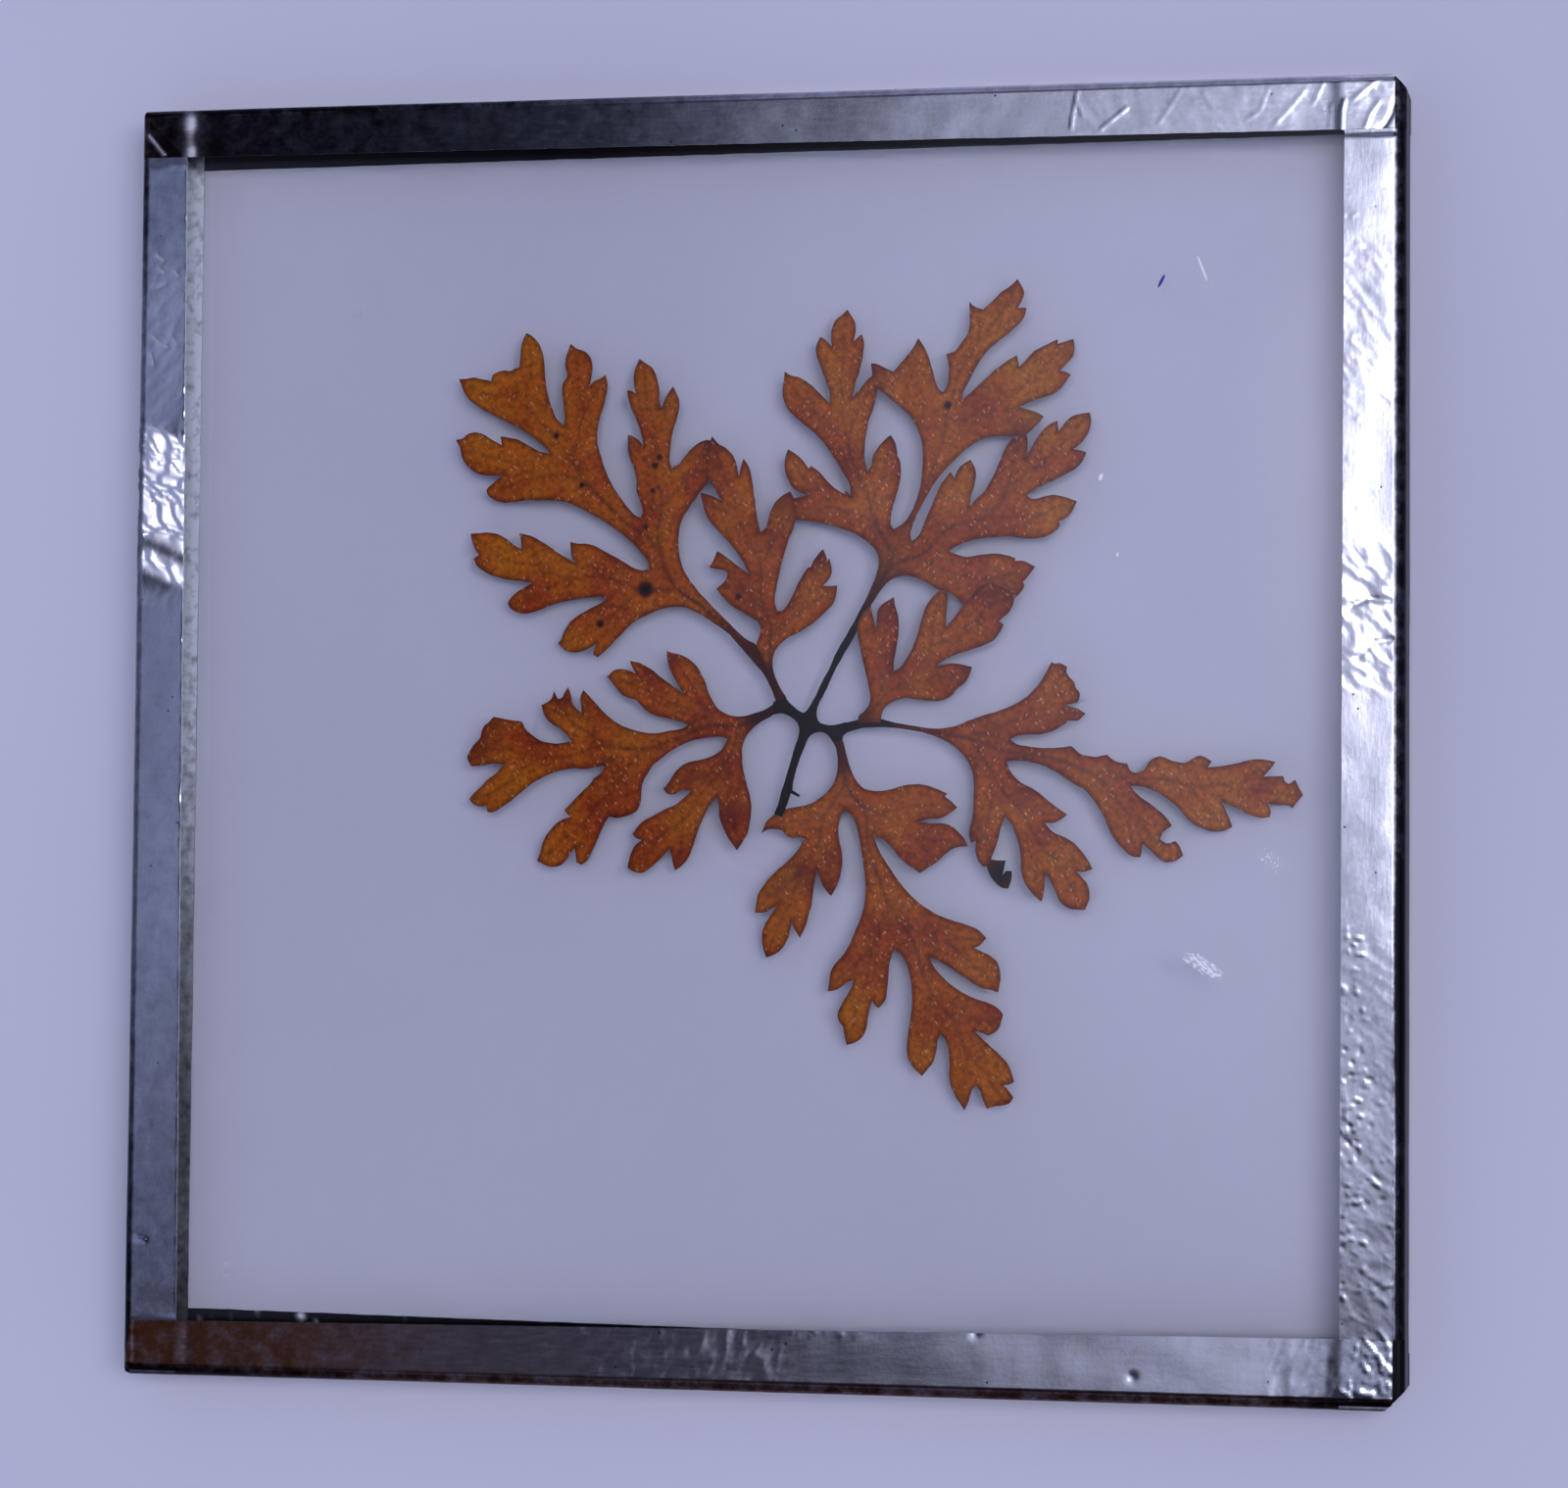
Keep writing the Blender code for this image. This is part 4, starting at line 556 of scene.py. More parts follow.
def shape_tape(side, tape, rows):
    """Taper, lift, crease and crumple the straight tape, and turn it to its side of the frame."""
    points = mesh_points(tape.data)
    row_index = row_of_points(points, rows)
    row = rows[row_index]
    across = np.concatenate(([0], np.cumsum(np.hypot(*np.diff(rows[:, :2], axis=0).T))))[row_index]
    forward = 1 if side in ("top", "left") else -1
    place = points[:, 0] * forward
    share = (place + HALF_SIDE) / (2 * HALF_SIDE)

    outer = HALF_SIDE - SKIN_INSET
    for widths, fold, on_face in (
        (FRONT_WIDTHS[side], FRONT_FOLDS[side], row[:, 3] > 0.999),
        (BACK_WIDTHS[side], BACK_FOLD, row[:, 3] < -0.999),
    ):
        width = widths[0] + (widths[1] - widths[0]) * share
        turn = outer - fold
        widened = (width - SKIN_INSET - fold) / (widths[0] - SKIN_INSET - fold)
        points[on_face, 1] = (turn + (points[:, 1] - turn) * widened)[on_face]

    on_front = smooth_step(0.2, 0.98, row[:, 3])
    if side in END_STEPS:
        low_start, low_end, high_start, high_end = END_STEPS[side]
        lift = 1 - smooth_step(low_start, low_end, place) + smooth_step(high_start, high_end, place)
        points[:, 2] += OVERLAP_STEP * lift * on_front

        for end in (-1, 1):
            bend = FRONT_FOLDS["right" if end * forward > 0 else "left"]
            past = np.clip(place * end - (outer - bend), 0, 0.97 * bend)
            points[:, 2] -= (bend - np.sqrt(bend ** 2 - past ** 2)) * on_front

    seen_from_front = turned(points, side)
    height = np.array([crumple(side, p, w) for p, w in zip(place, across)])
    for line, rise, width in CREASES:
        height += rise * np.exp(-(near_line(seen_from_front, line) / width) ** 2) * on_front
    for x, y, radius, rise in DENTS:
        height += rise * near_spot(seen_from_front, x, y, radius) * on_front
    edge_distance = np.minimum(across, across.max() - across)
    worn = np.array([noise.noise((p / 0.8, side_seed(side), 8)) for p in place])
    roll = 0.003 + 0.03 * np.clip(worn, 0, 1) if side == "left" else 0
    height -= roll * (edge_distance < 0.5 * EDGE_ROLL)
    sinking = np.full(len(place), SLOPES[side])
    for where, start, end, rise in BENT:
        if where == side:
            sinking -= (rise + SLOPES[side]) * stretch(start + 1.2, end - 1.2, 2.4, place)
    height -= sinking * (np.clip(across / fold_start(side), 0, 1) - 0.35) * on_front
    if side not in END_STEPS:
        beneath = smooth_step(HALF_SIDE - 4.9, HALF_SIDE - 4.5, np.abs(place)) * on_front
        height = height * (1 - beneath) - 0.04 * beneath
    height = np.where(row[:, 3] < 0.9, np.clip(height, *WALL_PLAY), np.clip(height, *FRONT_PLAY))
    points[:, 1] += row[:, 2] * height
    points[:, 2] += row[:, 3] * height
    ragged = [noise.noise((p / 1.6, side_seed(side), 0)) * 0.035 for p in place]
    ragged = np.array(ragged) + [noise.noise((p / 0.45, side_seed(side), 4)) * 0.012 for p in place]
    points[:, 1] += ragged * (1 - smooth_step(0, 0.6, edge_distance))

    placed = turned(points, side)
    press_corners(placed)
    set_mesh_points(tape.data, placed)
    return place, across


def fold_start(side):
    """How far across the tape its fold starts, from the inner edge of the front."""
    return FRONT_WIDTHS[side][0] - SKIN_INSET - FRONT_FOLDS[side]


def side_seed(side):
    return 31.7 * (1 + list(TURNS).index(side))


def turned(points, side):
    """The points of the straight tape, turned about the middle of the frame to their own side."""
    angle = math.radians(TURNS[side])
    x = points[:, 0] * math.cos(angle) - points[:, 1] * math.sin(angle)
    y = points[:, 0] * math.sin(angle) + points[:, 1] * math.cos(angle)
    return np.stack((x, y, points[:, 2]), axis=1)


def press_corners(points):
    """Press the ends of the tape flat against the blunted corners."""
    for (side_x, side_y), blunt in BLUNT_CORNERS.items():
        diagonal = (points[:, 0] * side_x + points[:, 1] * side_y) / math.sqrt(2)
        past = np.maximum(diagonal - (2 * HALF_SIDE - blunt - SKIN_INSET) / math.sqrt(2), 0)
        points[:, 0] -= side_x * past / math.sqrt(2)
        points[:, 1] -= side_y * past / math.sqrt(2)


# Foil tape: how dark it is coloured along each side, tarnish and painted shade where its reflection is
# dimmer, and its brown rust tint: (place, share)
TARNISH_AND_SHADE = {
    "top": [(-50, 0.86), (-44, 0.84), (-30, 0.78), (-10, 0.5), (2, 0.15), (20, 0)],
    "left": [(-50, 0.5), (-35, 0.3), (-15, 0.05), (10, 0), (34, 0), (40, 0.25), (46, 0.3), (50, 0.55)],
    "bottom": [(-50, 0.9), (-49.4, 0.8), (-49, 0.28), (-40, 0.16), (-25, 0), (40, 0), (46, 0.32)],
    "right": [(-50, 0.1), (-30, 0), (-24, 0.12), (-15, 0.12), (-6, 0), (46, 0), (50, 0.1)],
}
RUST = {
    "top": [(-50, 0.7), (-46, 0.5), (-40, 0.25), (-25, 0.1), (-15, 0)],
    "left": [(-50, 0.3), (-40, 0.1), (-20, 0), (47, 0), (50, 0.6)],
    "bottom": [(-50, 1), (-36, 0.9), (-22, 0.35), (-5, 0.1), (15, 0)],
    "right": [(-50, 0.1), (-45, 0)],
}

# Places painted bright, partly rubbed and partly a painted highlight: tarnish and rust are lifted and the
# foil made rougher there: (line, half width, share)
RUBBED_AND_HIGHLIT = [
    ([(-45.95, 49.3), (-45.95, 48.6)], 0.6, 0.85),
    ([(-45.95, 48.6), (-45.9, 46.6)], 0.5, 0.5),
    ([(-45.85, 46.6), (-45.85, 46.2)], 0.5, 0.85),
    ([(-49.35, 47.9), (-48.05, 46.35)], 0.13, 1),
    ([(-45.1, -46.4), (-45.1, -48.4)], 0.5, 0.22),
]
RUBBED_AND_HIGHLIT += [(line, 0.17, 0.8) for line in SCRAPES]

# How dark the fold and the side wall of each tape are painted, a painted shade for the dark bands along the
# frame's edges, and how rusty
FOLD_SHADE = {"left": 0.6, "right": 0.97, "top": 0.2, "bottom": 0.8}
WALL_RUST = {"left": 0.1, "right": 0, "top": 0.2, "bottom": 0.9}

# How pale the gummed side of the left tape is painted along the tape, a painted reflection of the foil seen
# through the glass
PALE_SHEEN = [(-48, 0.06), (-39, 0.22), (-26, 0.3), (-13, 0.5), (-1, 0.85), (9.4, 1), (20, 1.1),
            (30, 1.1), (39, 1), (45, 0.95), (46.2, 0.4)]

# Pale flecks in the dark gum of the bottom tape: (x, y, radius, share)
GUM_FLECKS = [(-36.5, -45.3, 0.3, 1), (-40.1, -45.1, 0.2, 0.5), (-35.3, -45.9, 0.2, 0.7),
              (-44.9, -45.8, 0.18, 0.6), (-42.3, -45.5, 0.15, 0.3), (-28, -45.3, 0.15, 0.3)]


def tinned_foil():
    """Tinned copper foil tape, rolled thin, folded and rubbed down: a soft mirror with faint scratches along
    the tape, dulled where it is crusted and browned where it rusts. Its colour is darkened by tarnish and by
    painted shade: on its folds and side walls, and along its length where its reflection is dimmer. Its
    gummed inner side is dark and dull; on the left tape it is painted pale and lumpy, a painted reflection
    with painted highlights of the foil's back seen through the glass."""
    material, add = new_material("rubbed_tinned_foil")
    along = add("UVMap", {}, uv_map="tape")["UV"]
    tarnish_and_shade, rust, gummed, pale_sheen_and_flecks, scuff = (
        add("Attribute", {}, attribute_name=name)["Fac"]
        for name in ("tarnish_and_shade", "rust", "gummed", "pale_sheen_and_flecks", "scuff")
    )
    stretched = add("Mapping", {"Vector": along, "Scale": (0.5, 3, 1)})[0]
    rubbing = add("TexNoise", {"Vector": stretched, "Scale": 1.1, "Detail": 4, "Roughness": 0.7})["Fac"]
    blotches = add("TexNoise", {"Vector": along, "Scale": 0.7, "Detail": 6, "Roughness": 0.7})["Fac"]
    pits = add("TexVoronoi", {"Vector": along, "Scale": 0.9, "Randomness": 1})
    pit = add("MapRange", {"Value": pits["Distance"], "From Min": 0.1, "From Max": 0.04})[0]
    pit_kind = add("SeparateColor", {0: pits["Color"]})[0]
    # The foil is coloured darker by tarnish and by painted shade, stored together
    uneven = add("Math", {0: blotches, 1: 0.5}, operation="SUBTRACT")[0]
    stain = add("Math", {0: uneven, 1: 0.7, 2: tarnish_and_shade}, operation="MULTIPLY_ADD")[0]
    metal = add(
        "ValToRGB", {"Fac": stain},
        stops=[(0, "#ECEEF2"), (0.3, "#BFC4CC"), (0.6, "#7C8088"), (0.85, "#3E3E46"), (1, "#131317")],
    )["Color"]
    rust_share = add("Math", {0: blotches, 1: 2.2, 2: -0.2}, operation="MULTIPLY_ADD", use_clamp=True)[0]
    rusty = add("Math", {0: rust_share, 1: rust}, operation="MULTIPLY")[0]
    browned = add(
        "Mix", {0: rusty, 6: metal, 7: linear("#E08850")}, data_type="RGBA", blend_type="MULTIPLY"
    )[2]
    dark_pit = add("Math", {0: pit_kind, 1: 0.8}, operation="GREATER_THAN")[0]
    pit_share = add("Math", {0: pit, 1: dark_pit}, operation="MULTIPLY")[0]
    dirty = add("Mix", {0: pit_share, 6: browned, 7: linear("#1A1418")}, data_type="RGBA")[2]
    # Pale colour with light and dark lumps on the left tape's gummed side: a painted reflection with painted
    # highlights
    grain = add("TexNoise", {"Vector": along, "Scale": 3, "Detail": 3, "Roughness": 0.6})["Fac"]
    sheen_lumps = add("TexNoise", {"Vector": along, "Scale": 1.3, "Detail": 2})["Fac"]
    lit_lumps = add("Math", {0: sheen_lumps, 1: 2, 2: -0.25}, operation="MULTIPLY_ADD")[0]
    sheen_tone = add("Math", {0: grain, 1: 0.35, 2: lit_lumps}, operation="MULTIPLY_ADD")[0]
    pale_share = add("Math", {0: sheen_tone, 1: pale_sheen_and_flecks}, operation="MULTIPLY", use_clamp=True)[0]
    gum_and_sheen = add("Mix", {0: pale_share, 6: linear("#0A0A0C"), 7: linear("#F2F8FF")}, data_type="RGBA")[2]
    colour = add("Mix", {0: gummed, 6: dirty, 7: gum_and_sheen}, data_type="RGBA")[2]
    pale_sheen_share = add("Math", {0: gummed, 1: pale_share}, operation="MULTIPLY")[0]
    # Where the gummed side is painted pale it is not metallic
    metallic = add("MapRange", {"Value": pale_sheen_share, "From Max": 0.6, "To Min": 1, "To Max": 0})[0]
    rubbed = add(
        "MapRange", {"Value": rubbing, "From Min": 0.3, "From Max": 0.7, "To Min": 0.06, "To Max": 0.13}
    )[0]
    crusted = add("MapRange", {"Value": tarnish_and_shade, "From Min": 0.88, "From Max": 0.96, "To Max": 0.35})[0]
    worn = add("Math", {0: rubbed, 1: crusted}, operation="ADD")[0]
    scuffed = add("Math", {0: scuff, 1: 0.3, 2: worn}, operation="MULTIPLY_ADD")[0]
    dulled = add("Math", {0: gummed, 1: 0.3, 2: scuffed}, operation="MULTIPLY_ADD")[0]
    relief = add("Math", {0: rubbing, 1: grain}, operation="ADD")[0]
    bump = add("Bump", {"Height": relief, "Strength": 0.2, "Distance": 0.000007})
    shader = add(
        "BsdfPrincipled",
        {"Base Color": colour, "Metallic": metallic, "Roughness": dulled, "Normal": bump[0]},
    )
    add("OutputMaterial", {"Surface": shader[0]})
    return material


def wrap_tapes():
    foil = tinned_foil()
    for side in TURNS:
        rows = tape_profile(side)
        half_length = HALF_SIDE - SKIN_INSET if side in END_STEPS else HALF_SIDE - 0.25
        tape = draw_out_tape(side, rows, half_length)
        place, across = shape_tape(side, tape, rows)
        mesh = tape.data
        shade_and_stain_tape(mesh, side, place, across)
        map_along(mesh, "tape", place, across)
        outer_points = len(mesh.vertices)
        thicken(tape, SHEET_THICKNESS, -1)
        keep_inside_frame(mesh)
        store(mesh, {"gummed": np.arange(len(mesh.vertices)) >= outer_points})
        bpy.ops.object.shade_smooth_by_angle(angle=math.radians(60))
        settle(tape, side + "_foil_strip", foil)


def shade_and_stain_tape(mesh, side, place, across):
    """Store how dark each point of the tape is, from tarnish and painted shade, how rusty and rubbed it is,
    and how pale its painted sheen and flecks are.
    """
    points = mesh_points(mesh)
    # Tarnish, and painted shade where the foil's reflection is dimmer, along the tape
    tarnish_and_shade = np.interp(place, *np.array(TARNISH_AND_SHADE[side]).T)
    rust = np.interp(place, *np.array(RUST[side]).T)
    scuff = 0 * place
    # Rubbed places lose tarnish and rust, a painted highlight as well as wear
    for line, half_width, share in RUBBED_AND_HIGHLIT:
        gap = near_line(points, line) / half_width
        lightened = share * np.exp(-gap ** 2)
        tarnish_and_shade *= 1 - np.minimum(lightened, 1)
        rust *= 1 - np.minimum(lightened, 1)
        scuff = np.maximum(scuff, lightened)
    # The fold and side wall, and the ends of the top and bottom tapes past the right edge, are darkened as
    # painted shade
    folded = smooth_step(fold_start(side) - 0.2, fold_start(side) + 0.1, across)
    wrapped = smooth_step(48.95, 49.15, points[:, 0]) if side in END_STEPS else 0 * place
    for where, start, end, _ in PLEATED:
        if where == side:
            pleated = stretch(start - 0.8, end - 1.4, 1.4, place - 0.4 * across)
            scuff = np.maximum(scuff, 1.15 * pleated)
    tarnish_and_shade += np.maximum(FOLD_SHADE[side] * folded, FOLD_SHADE["right"] * wrapped)
    rust = np.maximum(rust, WALL_RUST[side] * folded)
    sheen_and_flecks_here = np.interp(place, *np.array(PALE_SHEEN).T) if side == "left" else 0 * place
    if side == "bottom":
        for x, y, radius, share in GUM_FLECKS:
            sheen_and_flecks_here = np.maximum(sheen_and_flecks_here, share * near_spot(points, x, y, radius))
    store(mesh, {"tarnish_and_shade": tarnish_and_shade, "rust": rust, "scuff": scuff, "pale_sheen_and_flecks": sheen_and_flecks_here})


def keep_inside_frame(mesh):
    """Hold every point of the sheet within the frame's own box."""
    points = mesh_points(mesh)
    low, high = (np.array(corner) / MM for corner in cad_box)
    set_mesh_points(mesh, np.clip(points, low + 0.005, high - 0.005))


def map_along(mesh, name, along, across):
    """A map in millimetres, along the piece and across it."""
    layer = mesh.uv_layers.new(name=name)
    corners = np.empty(len(mesh.loops), np.int64)
    mesh.loops.foreach_get("vertex_index", corners)
    layer.data.foreach_set("uv", np.stack((along, across), axis=1)[corners].ravel())


wrap_tapes()


# Leaf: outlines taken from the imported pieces
def top_loops(node):
    """The outline loops of the flat piece's top face, outer and inner ones, as lists of (x, y)."""
    work = bmesh.new()
    work.from_mesh(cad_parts[node].data)
    bmesh.ops.remove_doubles(work, verts=work.verts, dist=1e-6)
    top = max(vertex.co.z for vertex in work.verts)
    others = [face for face in work.faces if min(v.co.z for v in face.verts) < top - 1e-5]
    bmesh.ops.delete(work, geom=others, context="FACES")
    onward = {}
    for edge in work.edges:
        if edge.is_boundary:
            corner = edge.link_loops[0]
            onward[corner.vert.index] = corner.link_loop_next.vert.index
    places = {v.index: (v.co.x / MM, v.co.y / MM) for v in work.verts}
    work.free()
    loops = []
    while onward:
        start = min(onward)
        loop = [start]
        step = onward.pop(start)
        while step != start:
            loop.append(step)
            step = onward.pop(step)
        loops.append([places[index] for index in loop])
    return loops


SHARP_TURN = math.radians(50)


def smoothed_loop(loop, seed):
    """The loop as a fine smooth line with its sharp tips and notches kept, and a slightly uneven margin."""
    points = [Vector(p) for p in loop]
    count = len(points)
    slopes = []
    for i, point in enumerate(points):
        before = point - points[i - 1]
        after = points[(i + 1) % count] - point
        sharp = before.angle(after, 0) > SHARP_TURN
        slopes.append(None if sharp else (before.normalized() + after.normalized()).normalized())
    fine = []
    for i, point in enumerate(points):
        following = points[(i + 1) % count]
        span = following - point
        size = span.length
        start = (slopes[i] or span.normalized()) * size
        end = (slopes[(i + 1) % count] or span.normalized()) * size
        steps = max(1, round(size / LEAF_EDGE_STEP))
        for step in range(steps):
            t = step / steps
            place = (
                point * (2 * t ** 3 - 3 * t ** 2 + 1)
                + start * (t ** 3 - 2 * t ** 2 + t)
                + following * (3 * t ** 2 - 2 * t ** 3)
                + end * (t ** 3 - t ** 2)
            )
            uneven = noise.noise_vector((place.x * 1.8, place.y * 1.8, seed)) * 0.035
            fine.append((place.x + uneven.x, place.y + uneven.y))
    return fine


# Stalk ends drawn a little further over the knot, so that no crack shows: (x, y, reach, shift x, shift y)
KNOT_ENDS = {"leaflet_upper_left": (1.6, 3, 0.8, 0.16, -0.16)}


def drawn_to_knot(loop, node):
    if node not in KNOT_ENDS:
        return loop
    x, y, reach, shift_x, shift_y = KNOT_ENDS[node]
    moved = []
    for here in loop:
        share = math.exp(-(math.dist(here, (x, y)) / reach) ** 2)
        moved.append((here[0] + shift_x * share, here[1] + shift_y * share))
    return moved


def inside_loops(points, loops):
    """For each point, whether it lies inside the outline and outside its openings."""
    odd = np.zeros(len(points), bool)
    x, y = points[:, 0], points[:, 1]
    for loop in loops:
        for (x0, y0), (x1, y1) in zip(loop, loop[1:] + loop[:1]):
            if y0 == y1:
                continue
            crosses = (y0 > y) != (y1 > y)
            odd ^= crosses & (x < (x1 - x0) * (y - y0) / (y1 - y0) + x0)
    return odd


def blade_cells(loops, draw):
    """Points and triangles that fill the outline evenly, and each point's distance from the margin."""
    margin = [point for loop in loops for point in loop]
    edges = []
    for loop in loops:
        first = len(edges)
        edges += [(first + i, first + (i + 1) % len(loop)) for i in range(len(loop))]
    corner_low = np.min(margin, axis=0)
    corner_high = np.max(margin, axis=0)
    row_height = LEAF_CELL * math.sqrt(3) / 2
    lattice = []
    for number, y in enumerate(np.arange(corner_low[1], corner_high[1], row_height)):
        shift = LEAF_CELL / 2 * (number % 2)
        for x in np.arange(corner_low[0] + shift, corner_high[0], LEAF_CELL):
            aside = draw.uniform(-0.25, 0.25) * LEAF_CELL
            lattice.append((x + aside, y + draw.uniform(-0.25, 0.25) * LEAF_CELL))
    lattice = np.array(lattice)
    lattice = lattice[inside_loops(lattice, loops)]
    tree = nearest_tree(margin)
    clear = [tree.find((x, y, 0))[2] > 0.6 * LEAF_CELL for x, y in lattice]
    places = [Vector(p) for p in margin] + [Vector(p) for p in lattice[clear]]
    places, _, triangles, _, _, _ = geometry.delaunay_2d_cdt(places, edges, [], 0, 1e-4)
    places = np.array([(p.x, p.y) for p in places])
    triangles = np.array(triangles)
    keep = inside_loops(places[triangles].mean(axis=1), loops)
    triangles = triangles[keep]
    used = np.unique(triangles)
    renumbered = np.full(len(places), -1)
    renumbered[used] = np.arange(len(used))
    places = places[used]
    distance = np.array([tree.find((x, y, 0))[2] for x, y in places])
    return places, renumbered[triangles], distance


# Leaf: veins, grown from the stalk to each tip along the middle of the lobes
def neighbours(triangles):
    pairs = np.concatenate((triangles[:, (0, 1)], triangles[:, (1, 2)], triangles[:, (2, 0)]))
    pairs = np.unique(np.sort(pairs, axis=1), axis=0)
    linked = {}
    for a, b in pairs:
        linked.setdefault(int(a), []).append(int(b))
        linked.setdefault(int(b), []).append(int(a))
    return linked


def walk_from(start, linked, places, cost):
    """The cheapest way from the start to every point: its length, and the point before it."""
    reach = np.full(len(places), np.inf)
    before = np.full(len(places), -1)
    reach[start] = 0
    waiting = [(0, start)]
    while waiting:
        far, here = heapq.heappop(waiting)
        if far > reach[here]:
            continue
        for there in linked.get(here, ()):
            step = math.dist(places[here], places[there]) * (cost[here] + cost[there]) / 2
            if far + step < reach[there]:
                reach[there] = far + step
                before[there] = here
                heapq.heappush(waiting, (far + step, there))
    return reach, before


def lobe_tips(places, distance, reach):
    """The points of the margin that lie further from the stalk than all the margin around them."""
    rim = [i for i in np.nonzero(distance < 1e-3)[0] if np.isfinite(reach[i])]
    tree = nearest_tree(places[rim])
    tips = []
    for index in rim:
        x, y = places[index]
        around = [rim[i] for _, i, _ in tree.find_range((x, y, 0), 0.9)]
        if reach[index] >= max(reach[i] for i in around):
            tips.append(index)
    return tips


def grow_veins(places, triangles, distance, base):
    """For each point of the blade: how near a vein it is, from 0 to 1, and its way from the stalk."""
    linked = neighbours(triangles)
    start = int(np.argmin(np.hypot(*(places - base).T)))
    reach, _ = walk_from(start, linked, places, np.ones(len(places)))
    middle_cost = 1 / (distance + 0.3) ** 0.8
    _, before = walk_from(start, linked, places, middle_cost)
    carried = {}
    for tip in lobe_tips(places, distance, reach):
        here = tip
        while here != -1:
            carried[here] = carried.get(here, 0) + 1
            here = int(before[here])
    ways = {here: places[here].copy() for here in carried}
    branches = {}
    for here in carried:
        if before[here] != -1:
            branches.setdefault(int(before[here]), []).append(here)
    for _ in range(30):
        moved = {}
        for here in carried:
            onward = branches.get(here)
            if before[here] == -1 or not onward:
                continue
            main = max(onward, key=carried.get)
            moved[here] = (ways[here] + ways[int(before[here])] * 1.5 + ways[main] * 1.5) / 4
        ways.update(moved)
    samples, widths = [], []
    for here in carried:
        if before[here] == -1:
            continue
        previous = int(before[here])
        for share in (0, 0.33, 0.67):
            samples.append(ways[here] * (1 - share) + ways[previous] * share)
            widths.append(0.1 + 0.025 * math.sqrt(carried[here]))
    vein = np.zeros(len(places))
    tree = nearest_tree(samples)
    for index, (x, y) in enumerate(places):
        for _, i, gap in tree.find_range((x, y, 0), 0.9):
            darkness = math.exp(-(gap / widths[i]) ** 2) * min(1, (widths[i] / 0.2) ** 2)
            vein[index] = max(vein[index], darkness)
    return vein, reach


# Leaf: its soft dark stains, as (x, y, radius, strength), and its black spots, as (x, y, radius)
BASE_POINT = (1.7, 1.6)
STAINS = [
    (-3.7, 21.2, 0.9, 0.35), (2.7, 17.8, 0.7, 0.35), (9, 27.6, 0.7, 0.35), (18.8, 10.9, 1.5, 0.6),
    (10.2, 9.8, 1.1, 0.5), (-22.2, -0.6, 1.6, 0.8), (-20.9, 0.9, 1.2, 0.65), (-15.4, 3, 1.1, 0.7),
    (6.3, -9, 1.1, 0.45), (2, -11.3, 1.3, 0.45), (-5.4, -2.6, 1.6, 0.4), (-11.5, -3, 1.8, 0.35),
    (17, -7.4, 1, 0.5), (-4.6, 7.4, 1.3, 0.35), (3.8, -10.3, 1.3, 0.75), (18.2, 1, 1.3, 0.4),
    (-2, -5.9, 1.3, 0.75), (-2.8, -2.8, 1.2, 0.5), (-3.7, 23.2, 1.3, 0.8), (2.6, 18.9, 1.3, 0.75),
    (5, 14.2, 1.4, 0.8), (9.5, 28.4, 1, 0.6), (20.5, 23.3, 1.1, 0.7), (10.8, 23.1, 0.9, 0.6),
    (1.8, 17.9, 0.6, 0.5),
]
BLACK_SPOTS = [
    (-8.8, 11.6, 0.62), (-8.15, 21.25, 0.25), (-7.8, 21.9, 0.22), (-12.4, 8.95, 0.3), (-8.3, 19.3, 0.2),
    (-8.85, 16.45, 0.2), (-14, 19.8, 0.22), (-16.1, 23.7, 0.22), (-1.35, 10.98, 0.24), (14.9, 25.6, 0.3),
    (19.15, -10.35, 1.35),
]

# Each leaf piece: how far its stalk stays dark, how dark that is, how dusty it is, how ochre its tips are
BLADES = {
    "petiole": (30, 1, 0, 0),
    "leaflet_left": (3.4, 0.85, 0, 0.08),
    "leaflet_upper_left": (10, 0.75, 0, 0.16),
    "leaflet_upper_left_inner": (1.6, 0.6, 0.15, 0.1),
    "leaflet_upper_right": (16, 1, 0.2, 0.18),
    "leaflet_right_inner": (2.6, 0.5, 0.15, 0.05),
    "leaflet_right": (7, 1, 0.2, 0.14),
    "leaflet_lower": (4, 0.7, 0.15, 0.15),
}


